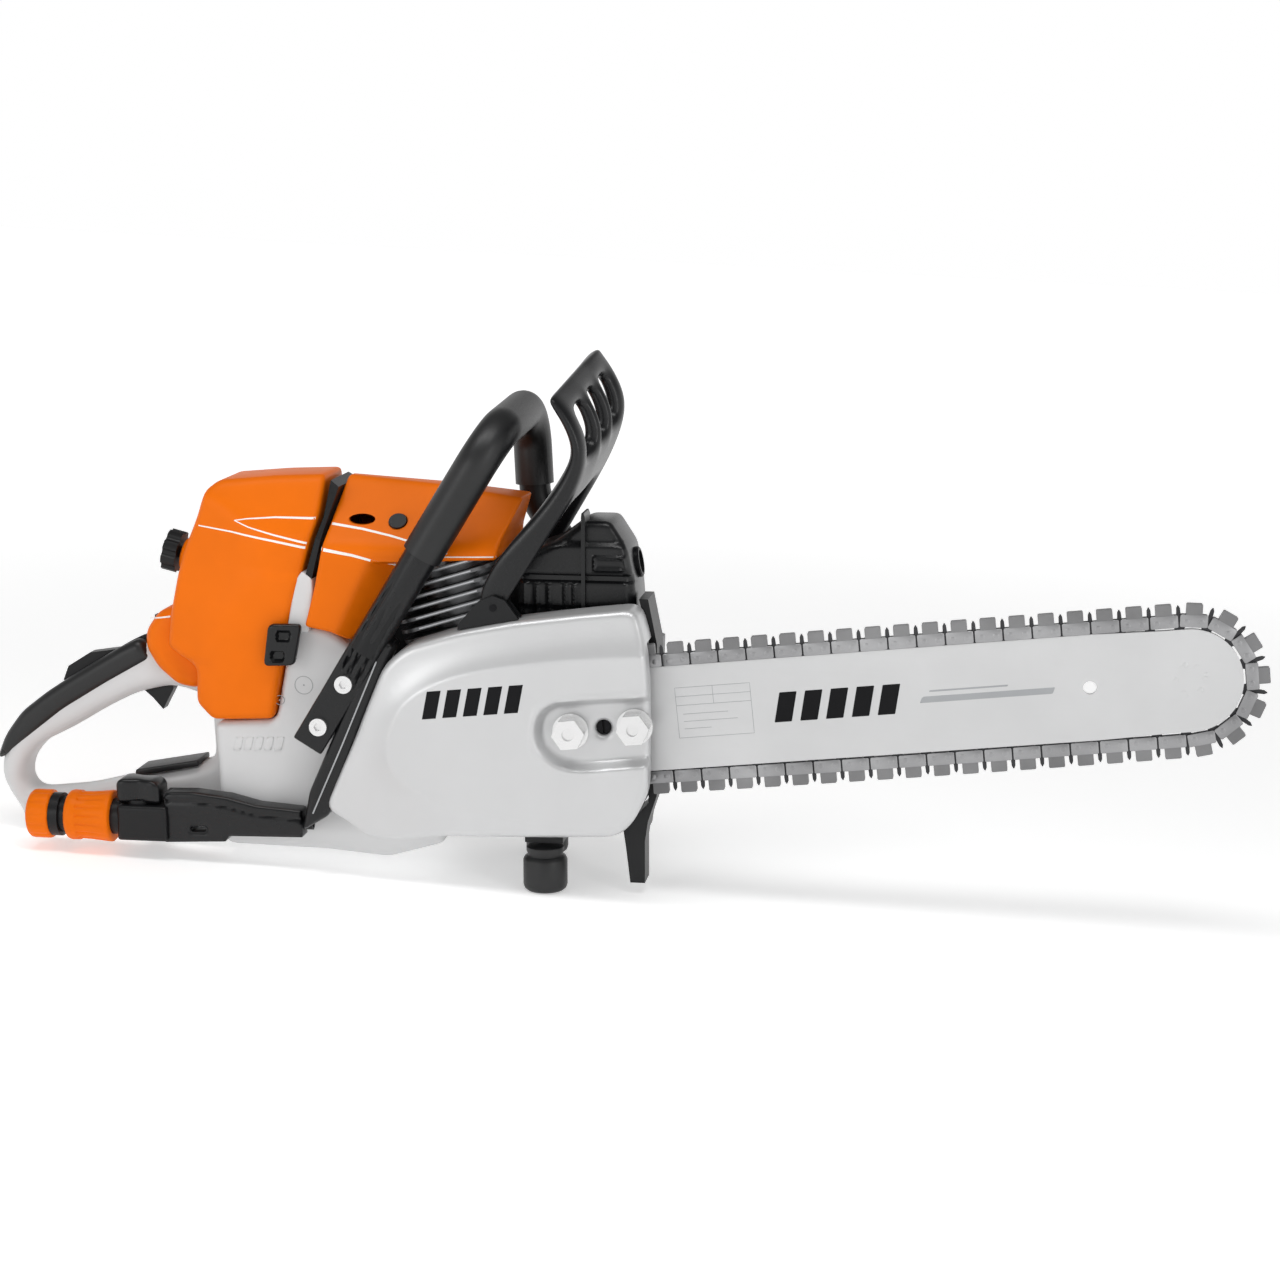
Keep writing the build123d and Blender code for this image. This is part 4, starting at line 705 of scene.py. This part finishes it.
def guard_mesh():
    """The hand guard: two arms that rise into a slotted panel, which reaches higher on the left."""
    verts, faces = [], []
    index = {}
    for r, (middle, thick, near_edge, far_in, far_out) in enumerate(guard_rows):
        before, after = guard_rows[max(r - 1, 0)][0], guard_rows[min(r + 1, len(guard_rows) - 1)][0]
        run = (Vector(after) - Vector(before)).normalized()
        normal = Vector((run.y, -run.x))
        ys = (-10.7, near_edge, *guard_ribs, far_in, far_out)
        for c, y in enumerate(ys):
            share = max(0.0, min(1.0, (y + 10) / 125))
            rise = smooth_step(np.array((r - 0.5) / 5.5)) * share
            shift = Vector((9.0, 22.0)) * float(rise)
            rear = max(5.5, thick * 0.62) if c >= columns - 2 else thick * 0.5
            front = rear if c in (0, 1) or c >= columns - 2 else max(2.6, thick * 0.6)
            for k, offset in enumerate((-rear, front)):
                p = Vector(middle) + shift + normal * offset
                index[(r, c, k)] = len(verts)
                verts.append((p.x, y, p.y))
    solid = set()
    for r in range(len(guard_rows) - 1):
        for c in range(columns - 1):
            arm = c in (0, columns - 2)
            slot = SLOT_ROWS[0] <= r < SLOT_ROWS[1] and c in SLOT_COLUMNS
            if arm or (r >= PANEL_ROW and not slot):
                solid.add((r, c))
    for r, c in solid:
        corners = (r, c), (r, c + 1), (r + 1, c + 1), (r + 1, c)
        faces += [[index[(*corner, k)] for corner in corners] for k in (0, 1)]
        for (dr, dc), (a, b) in (
            ((-1, 0), ((0, 0), (0, 1))), ((1, 0), ((1, 0), (1, 1))),
            ((0, -1), ((0, 0), (1, 0))), ((0, 1), ((0, 1), (1, 1))),
        ):
            if (r + dr, c + dc) not in solid:
                p, q = (r + a[0], c + a[1]), (r + b[0], c + b[1])
                faces.append([index[(*p, 0)], index[(*q, 0)], index[(*q, 1)], index[(*p, 1)]])
    return verts, faces


piece("hand_guard_moulded", *guard_mesh(), gloss_black, "hand_guard", subdivide=3)

# ---------------------------------------------------------------- boss under the filter cover's knob
KNOB_LEAN = math.radians(14)
knob_line = ((-222, 45, 107.5), (-math.cos(KNOB_LEAN), 0, math.sin(KNOB_LEAN)), (0, 1, 0))
piece("knob_boss", *lathe(
    [(-14, 5.2), (-14, 15), (-4, 13), (1.5, 11.4), (2.8, 10.2), (2.8, 5.2), (-14, 5.2)], knob_line, 56,
), orange, slot="orange_shell", angle=50)

# ---------------------------------------------------------------- muffler, its outlet flush with the shroud
OUTLET = ((84, 48, 107.4), (0.984, 0, 0.18), (0, 1, 0))
muffler_outline = rounded([(34, 82), (84, 82), (84, 112), (72, 130), (48, 130), (34, 112)], 5)
piece("muffler_moulded", *joined(
    relief(muffler_outline, level(26), level(88), 4, radius=5),
    lathe([(0, 8), (0, 10.5), (9.5, 10.5), (10.4, 9.6), (10.4, 8), (0, 8)], OUTLET, 48),
), print_black, "muffler")

# ---------------------------------------------------------------- muffler shroud
muffler_box = rounded([
    (14, 70), (95.5, 70), (93.5, 96.5), (89, 121), (77, 139.5), (58, 139.5), (40, 126), (14, 116),
], 4)


def muffler_face(points):
    """Right end of the muffler shroud: an upper box with a framed recess, a lower box with upright ribs."""
    x, z = points.T
    y = 16.5 + 3.6 * smooth_step((z - 122) / 5)
    waist = 3.2 * smooth_step((z - 98) / 2) * (1 - smooth_step((z - 103) / 2))
    y = y + waist + 2.4 * smooth_step((84 - z) / 3)
    recess_frame = np.abs(np.maximum(np.abs(x - 77) - 10, np.abs(z - 112) - 4))
    y = y - 2.0 * (1 - smooth_step(recess_frame / 1.8))
    for rib in (20, 28, 36, 47, 53):
        y = y - 1.6 * np.exp(-((x - rib) / 1.2) ** 2) * (z < 98)
    return y + 2.5 * smooth_step((x - 86) / 8)


seam = prism([(58.4, 72), (61, 72), (61, 143.5), (60.2, 146), (58.8, 146), (58.4, 143.5)], 13.6, 36)
piece("muffler_shroud_moulded", *joined(
    relief(muffler_box, muffler_face, level(90), 1.5, radius=5, far_radius=26), seam,
), gloss_black, "muffler_shroud")

# a black plate that closes the view past the cylinder: painted shade, a dark sheet standing for the shade
# behind the fins and the handlebar leg
painted_fin_shade = rounded([(-90, 36), (-48, 44), (36, 60), (36, 112), (8, 112), (-30, 108), (-74, 78)], 3)
piece("painted_shade_plate", *relief(painted_fin_shade, level(34), level(37), 4, radius=1), black,
      slot="black_plastic")

# ---------------------------------------------------------------- feet
foot_profile = [
    (0, 0.1), (0, 12.5), (1.5, 14.2), (4, 15), (21, 15), (23, 14), (24, 12), (25.5, 12), (27, 12.8),
    (30, 12.8), (31, 11), (31, 0.1),
]
FOOT_LIFT = 0.7  # the foot is square to the leaning saw, so its rim dips this far below its middle
feet = []
for x, y in ((35, 2), (20, 94)):
    floor_z = -(CRANK_HEIGHT + x * math.sin(STANCE)) / math.cos(STANCE)
    foot_line = ((x, y, floor_z), (0, 0, 1), (1, 0, 0))
    feet.append(lathe([(h + FOOT_LIFT, r) for h, r in foot_profile], foot_line, 48))
piece("rubber_feet_moulded", *joined(*feet), rubber, "rubber_feet", angle=50)

# ---------------------------------------------------------------- neck of the housing between the covers
neck = rounded([(-143, 60), (-127, 62), (-123.5, 90), (-124, 99), (-131, 104), (-136, 97)], 2)
piece("housing_neck", *relief(neck, level(6.2), level(40), 3, radius=1.5), white, slot="light_housing")

# ---------------------------------------------------------------- orange bulge behind the filter cover
bulge_outline = rounded([
    (-222, 74), (-229, 73.5), (-241, 69), (-250, 56), (-250, 44), (-242, 30), (-228, 18), (-214, 15.5),
    (-205, 22), (-205, 60),
], 5)
BULGE_MIDDLE, BULGE_RADIUS = 50, 8


def bulge_face(points):
    """Right side of the bulge, which narrows towards its top."""
    return 26 + 0.012 * np.maximum(points[:, 1] - 40, 0) ** 1.6


piece("rear_shroud_moulded", *relief(
    bulge_outline, bulge_face, mirrored(bulge_face, BULGE_MIDDLE), 2.6, radius=BULGE_RADIUS,
), orange, "rear_shroud")
bulge_skin = edge_following(bulge_face, bulge_outline, BULGE_RADIUS)
piece("rear_shroud_line", *ribbon([(-248, 63.5), (-240, 65), (-231, 66.4)], (0.5, 1.2), bulge_skin),
      line_white, slot="light_housing")

# ---------------------------------------------------------------- square access cap with two recesses
cap_outline = rounded([(-153, 68.5), (-130, 69), (-135.5, 40.5), (-157, 39.5)], 4)
recesses = [
    rounded([(x - 4.5, z + 3.6), (x + 5, z + 3.8), (x + 4, z - 3.6), (x - 5, z - 3.8)], 2.4)
    for x, z in ((-142.5, 60.5), (-146.8, 46.5))
]


def cap_face(points):
    """Right side of the cap, with its two recesses."""
    y = np.full(len(points), -2.4)
    for ring in recesses:
        y = y + 3.4 * smooth_step((signed(ring, points) + 0.5) / 1.6)
    return y


piece("access_cap_moulded", *relief(cap_outline, cap_face, level(3.7), 1.2, radius=2.0), gloss_black,
      "access_cap")

# ---------------------------------------------------------------- marks moulded and printed on the right side
for k, (x, z, r) in enumerate(((-132.5, 24.7, 6.2), (-149.6, 13.8, 3.2))):
    ring = ellipse(x, z, r, r, 32)
    dot = [(x - 0.5, z), (x + 0.5, z)]
    piece(f"housing_mark_{k}", *joined(
        ribbon(ring + ring[:1], 0.45, tank_face, 0.15, 1), ribbon(dot, 1.0, tank_face, 0.15, 1),
    ), print_grey, slot="black_plastic")


def stripes(x0, z0, x1, z1, height, count, slant=0.3, share=0.68):
    """Slanted bars in a row along a line, a plain generic mark."""
    bars = []
    length = math.hypot(x1 - x0, z1 - z0)
    ex, ez = (x1 - x0) / length, (z1 - z0) / length
    pitch = length / count
    for i in range(count):
        a = i * pitch
        low = [(x0 + ex * t, z0 + ez * t) for t in (a, a + pitch * share)]
        rise = (ex * slant - ez, ez * slant + ex)
        bars.append(low + [(x + rise[0] * height, z + rise[1] * height) for x, z in reversed(low)])
    return bars


PRINT_DEPTH = 0.5  # how far a printed patch reaches into what it lies on


def printed(bars, surface, proud=0.12):
    """Thin closed patches laid on a surface."""
    top, bottom = deeper(surface, -proud), deeper(surface, PRINT_DEPTH)
    return joined(*[relief(bar, top, bottom, 2.5, radius=0.1) for bar in bars])


piece("cover_mark", *printed(stripes(-42, 12.2, 27, 19.2, 18.5, 5), cover_face), print_black,
      slot="black_plastic")
piece("housing_emboss", *printed(stripes(-183, -22, -147, -20.8, 9.0, 5), tank_face, 0.55), white,
      slot="light_housing")

# ---------------------------------------------------------------- marks and rivets on the guide bar
bar_face = level(-2.25)


def bar_points(pairs):
    """Points of the guide bar's side view, from places along and across the bar."""
    return [on_bar(u, 0, v)[::2] for u, v in pairs]


MARK_U, MARK_PITCH, MARK_WIDTH, MARK_SLANT = 190, 17, 11.5, 5
bar_marks = []
for k in range(5):
    u0, u1 = MARK_U + MARK_PITCH * k, MARK_U + MARK_PITCH * k + MARK_WIDTH
    bar_marks.append(bar_points([(u0, -8), (u1, -8), (u1 + MARK_SLANT, 12), (u0 + MARK_SLANT, 12)]))
piece("bar_mark", *printed(bar_marks, bar_face, 0.08), print_black, slot="black_plastic")
thin_marks = [
    bar_points([(286, -2), (372, -2), (374, 2.2), (288, 2.2)]),
    bar_points([(292, 5), (344, 5), (344.6, 6.2), (292.6, 6.2)]),
]
piece("bar_mark_thin", *printed(thin_marks, bar_face, 0.07), print_grey, slot="black_plastic")
nose_rivets = [
    lathe([(0, 0.1), (0, 1.9), (0.16, 1.6), (0.2, 0.1)], (on_bar(u, -2.2, v), (0, -1, 0), (0, 0, 1)), 20)
    for u, v in ((457.2, 10.6), (450.8, 1.4), (455.8, -8.9), (466.0, -6.4), (470.2, 3.3))
]
piece("bar_nose_rivets", *joined(*nose_rivets), bar_metal, slot="bar_steel", angle=50)
label_paths = (
    [(126, -14), (176, -14), (176, 20), (126, 20), (126, -14)], [(126, 8), (176, 8)], [(126, 14), (176, 14)],
    [(151, 8), (151, 20)], [(130, 2), (160, 2)], [(130, -3), (166, -3)], [(130, -8), (148, -8)],
)
piece("bar_label_lines", *joined(
    *[ribbon(bar_points(path), 0.35, bar_face, 0.06, 4) for path in label_paths],
), print_grey, slot="black_plastic")

# ---------------------------------------------------------------- water valve, its lever and the hose guide
valve_outline = rounded([(-261.5, -59.2), (-226, -59.2), (-226, -84), (-261.5, -84)], 2.5)
piece("water_valve_moulded", *relief(valve_outline, level(-10.5), level(16.5), 3, radius=3), black,
      slot="black_plastic")
lever_outline = rounded([
    (-262, -57.8), (-262.5, -44), (-259, -41.2), (-236, -42), (-231.5, -46), (-231.5, -57.8),
], 2.5)


def lever_face(points):
    """Right side of the lever, with a thumb hollow."""
    return -7.5 + 2.5 * np.exp(-((points[:, 0] + 247) / 6) ** 2)


piece("water_valve_lever_moulded", *relief(
    lever_outline, lever_face, mirrored(lever_face, 3), 1.6, radius=3,
), gloss_black, "water_valve_lever")
guide_slot = rounded([(-211, -77), (-199, -77), (-199, -73), (-211, -73)], 1.8)
guide_outline = rounded([
    (-229, -52), (-226, -49.6), (-208, -49), (-184, -51.6), (-163.5, -56.6), (-131.6, -59), (-131.6, -78.4),
    (-183.7, -79.4), (-186, -83.6), (-229, -85.4),
], 2)


def guide_face(points):
    """Right side of the hose guide, with a groove that follows the pipe inside."""
    x, z = points.T
    top = np.interp(x, (-208, -184, -163.5, -132), (-49, -51.6, -56.6, -59))
    return -6.2 + 1.3 * np.exp(-((top - z - 7) / 1.3) ** 2) - 0.8 * smooth_step((z - top + 18) / 4)


piece("hose_guide_moulded", *relief(guide_outline, guide_face, level(9.2), 1.5, holes=(guide_slot,), radius=3),
      gloss_black, slot="black_plastic")

# ---------------------------------------------------------------- painted highlights: bright steel strips along the edges of the cylinder's fins
CYLINDER_LEAN = math.radians(17)
LOW_FIN, FIN_PITCH, FIN_COUNT = 64.2, 7, 8
fin_highlights = []
for fin in range(FIN_COUNT):
    height = LOW_FIN + FIN_PITCH * fin
    for y, out in ((10, -1), (94, 1)):
        ends = []
        for along in (-30, 16):
            ends.append((-height * math.sin(CYLINDER_LEAN) + along * math.cos(CYLINDER_LEAN),
                         height * math.cos(CYLINDER_LEAN) + along * math.sin(CYLINDER_LEAN)))
        fin_highlights.append(ribbon(ends, 1.0, level(y), 0.25, 6, out))
piece("cylinder_fin_highlights", *joined(*fin_highlights), steel, slot="machined_steel")

# ---------------------------------------------------------------- rim and hub cap of the starter housing
CRANK_LINE = ((0, 0, 0), (0, 1, 0), (0, 0, 1))
piece("starter_trim", *joined(
    lathe([
        (131, 45.2), (132.3, 45.6), (132.6, 46.4), (132.4, 47.4), (131, 47.9), (131, 45.2),
    ], CRANK_LINE, 96),
    lathe([
        (131, 0.1), (131, 25.6), (132.2, 25.4), (132.8, 24.2), (132.8, 17), (132.3, 16), (132.3, 0.1),
    ], CRANK_LINE, 72),
), white, slot="light_housing", angle=45)

# ---------------------------------------------------------------- raised faces of the chain's tie straps
PITCH, RAIL_LINKS, NOSE_TEETH, CHAIN_SAG = 9.32, 42, 13, 1.0
nose_r = PITCH / (2 * math.sin(math.pi / NOSE_TEETH / 2))
rail_u = NOSE_U - RAIL_LINKS * PITCH
rivet_places = [(rail_u + j * PITCH, nose_r) for j in range(RAIL_LINKS + 1)]
for j in range(1, NOSE_TEETH + 1):
    angle = math.pi / 2 - j * math.pi / NOSE_TEETH
    rivet_places.append((NOSE_U + nose_r * math.cos(angle), nose_r * math.sin(angle)))
for j in range(1, RAIL_LINKS + 1):
    share = j / RAIL_LINKS
    rivet_places.append((NOSE_U - j * PITCH, -nose_r - 4 * CHAIN_SAG * share * (1 - share)))
strap_ring = rounded([(-8.75, -3.5), (8.75, -3.5), (8.75, 4.7), (-8.75, 4.7)], 1.2, 3)
rivet_head = ellipse(0, 0, 1.9, 1.9, 16)
strap_groups = {
    "chain_top": range(0, RAIL_LINKS), "chain_nose": range(RAIL_LINKS, RAIL_LINKS + NOSE_TEETH),
    "chain_bottom": range(RAIL_LINKS + NOSE_TEETH, len(rivet_places) - 1),
}


def strap_face(index, side):
    """Raised face of one tie strap, with its two rivet heads, on one side of the chain."""
    (u0, v0), (u1, v1) = rivet_places[index], rivet_places[index + 1]
    turn = math.atan2(v1 - v0, u1 - u0)
    c, s = math.cos(turn), math.sin(turn)
    parts = []
    for ring, low, high, top in ((strap_ring, 2.1, 2.75, 0.965), *((rivet_head, 2.7, 3.05, 0.8),) * 2):
        n = len(ring)
        verts = [(x * k, y, z * k) for y, k in ((low, 1), (high - 0.2, 1), (high, top)) for x, z in ring]
        faces = [tuple(range(n)), tuple(range(3 * n - 1, 2 * n - 1, -1))]
        for r in (0, 1):
            a, b = r * n, (r + 1) * n
            faces += [(a + i, a + (i + 1) % n, b + (i + 1) % n, b + i) for i in range(n)]
        shift = (0, -PITCH / 2, PITCH / 2)[len(parts)]
        parts.append(([(x + shift, y, z) for x, y, z in verts], faces))
    verts, faces = joined(*parts)
    placed = []
    for x, y, z in verts:
        u, v = (u0 + u1) / 2 + x * c - z * s, (v0 + v1) / 2 + x * s + z * c
        placed.append(on_bar(u, side * y, v))
    return placed, faces


for body, indices in strap_groups.items():
    faces_of = [strap_face(i, side) for i in indices if i % 2 == 0 for side in (-1, 1)]
    piece(body + "_strap_faces", *joined(*faces_of), plate_steel, slot="chain_steel", body=body)

# ---------------------------------------------------------------- painted highlight: a thin steel line along the cover's rear seal
seal_highlight_path = [(-121, -58), (-99.5, -9.5), (-75, 48)]
piece("seal_highlight_line", *ribbon(seal_highlight_path, 0.9, level(-15.6), 1.0, 4), steel, slot="machined_steel")
seal_outline = rounded([
    (-129, -71), (-111, -60), (-91, -7.7), (-68, 48), (-63, 58), (-71, 64), (-86, 40), (-109, -10),
    (-124, -44),
], 3)
piece("cover_seal_moulded", *relief(seal_outline, level(-16), level(8), 2, radius=4), gloss_black,
      "cover_seal")

# ---------------------------------------------------------------- water coupling's ribbed nut and sleeve
INLET = ((0, 3, -70), (-1, 0, 0), (0, 0, 1))


def ribs(count, depth, first, last):
    """A wave for lathe(): ribs between two places along the axis."""
    def wave(angle, along):
        if not first < along < last:
            return 1
        return 1 - depth * (0.5 - 0.5 * math.cos(count * angle)) ** 6
    return wave


piece("coupling_nut_moulded", *lathe([
    (310.8, 12.6), (310.8, 15.2), (311.6, 16.6), (313, 17), (316, 17), (319, 17), (322, 17), (324.5, 16.6),
    (326, 15.4), (327, 13.2), (327, 9.6), (318.2, 9.6), (318.2, 12.6),
], INLET, 96, ribs(12, 0.045, 311, 325), ring=True), orange, "coupling_nut", angle=50)
piece("coupling_sleeve_moulded", *lathe([
    (267, 12.6), (267, 16.9), (267.8, 17.8), (270, 17.8), (276, 17.2), (283, 16.6), (290, 16.3), (291, 17.2),
    (296, 17.4), (298, 16.8), (299, 15.5), (299, 12.6),
], INLET, 96, ribs(16, 0.05, 275, 291), ring=True), orange, "coupling_sleeve", angle=50)

# ---------------------------------------------------------------- studio
FLOOR = 8  # metres from its middle to each side
floor_mesh = bpy.data.meshes.new("floor")
floor_corners = [(x * FLOOR, y * FLOOR, 0) for x, y in ((-1, -1), (1, -1), (1, 1), (-1, 1))]
floor_mesh.from_pydata(floor_corners, [], [(0, 1, 2, 3)])
floor = bpy.data.objects.new("floor", floor_mesh)
bpy.context.scene.collection.objects.link(floor)
floor_look = material("floor", (0.9, 0.9, 0.9), rough=0.6, grain=0.02, vary=0.003)
floor.data.materials.append(floor_look)
tree = floor_look.node_tree
place = tree.nodes.new("ShaderNodeTexCoord")
from_middle = tree.nodes.new("ShaderNodeVectorMath")
from_middle.operation = "LENGTH"
tree.links.new(place.outputs["Object"], from_middle.inputs[0])
floor_bsdf = tree.nodes["Principled BSDF"]
floor_bsdf.inputs["Emission Color"].default_value = (1, 1, 1, 1)
glow = map_range(tree, from_middle.outputs["Value"], 0.45, 2.6, 0.4, 0.8, "SMOOTHSTEP")
tree.links.new(glow, floor_bsdf.inputs["Emission Strength"])

world = bpy.data.worlds.new("world")
bpy.context.scene.world = world
world.use_nodes = True
tree = world.node_tree
direction = tree.nodes.new("ShaderNodeTexCoord")
split = tree.nodes.new("ShaderNodeSeparateXYZ")
tree.links.new(direction.outputs["Generated"], split.inputs["Vector"])
backdrop = tree.nodes["Background"]
backdrop.inputs["Color"].default_value = (1, 1, 1, 1)
strength = map_range(tree, split.outputs["Z"], 0.14, 0.6, 1.0, 0.22, "SMOOTHSTEP")
tree.links.new(strength, backdrop.inputs["Strength"])


def lamp(name, at, aim, size, power):
    """A soft rectangular light, aimed at a point. Metres and watts."""
    data = bpy.data.lights.new(name, "AREA")
    data.shape = "RECTANGLE"
    data.size, data.size_y = size
    data.energy = power
    obj = bpy.data.objects.new(name, data)
    turn = (Vector(aim) - Vector(at)).to_track_quat("-Z", "Y").to_matrix().to_4x4()
    obj.matrix_world = Matrix.Translation(at) @ turn
    bpy.context.scene.collection.objects.link(obj)


lamp("top", (-0.1, -0.55, 1.6), (0, 0, 0.1), (1.7, 0.45), 13)
lamp("front", (-1.2, -1.6, 0.7), (0, 0, 0.12), (0.7, 0.3), 4)
lamp("right", (1.5, -1.3, 0.8), (0.2, 0, 0.1), (0.3, 0.9), 4.5)

# ---------------------------------------------------------------- camera
AZ, EL, DIST = math.radians(8), math.radians(11), 1700.0
SENSOR, LENS = 36, 72.3375
aim = Vector((99.9, 0, 64.3))
eye = aim + DIST * Vector((math.sin(AZ) * math.cos(EL), -math.cos(AZ) * math.cos(EL), math.sin(EL)))
camera_data = bpy.data.cameras.new("camera")
camera_data.sensor_width = SENSOR
camera_data.lens = LENS
camera_data.dof.use_dof = False
camera = bpy.data.objects.new("camera", camera_data)
turn = (aim - eye).to_track_quat("-Z", "Y").to_matrix().to_4x4()
camera.matrix_world = to_row @ Matrix.Translation(eye * MM) @ turn
bpy.context.scene.collection.objects.link(camera)
bpy.context.scene.camera = camera
bpy.context.scene.view_settings.view_transform = "Standard"
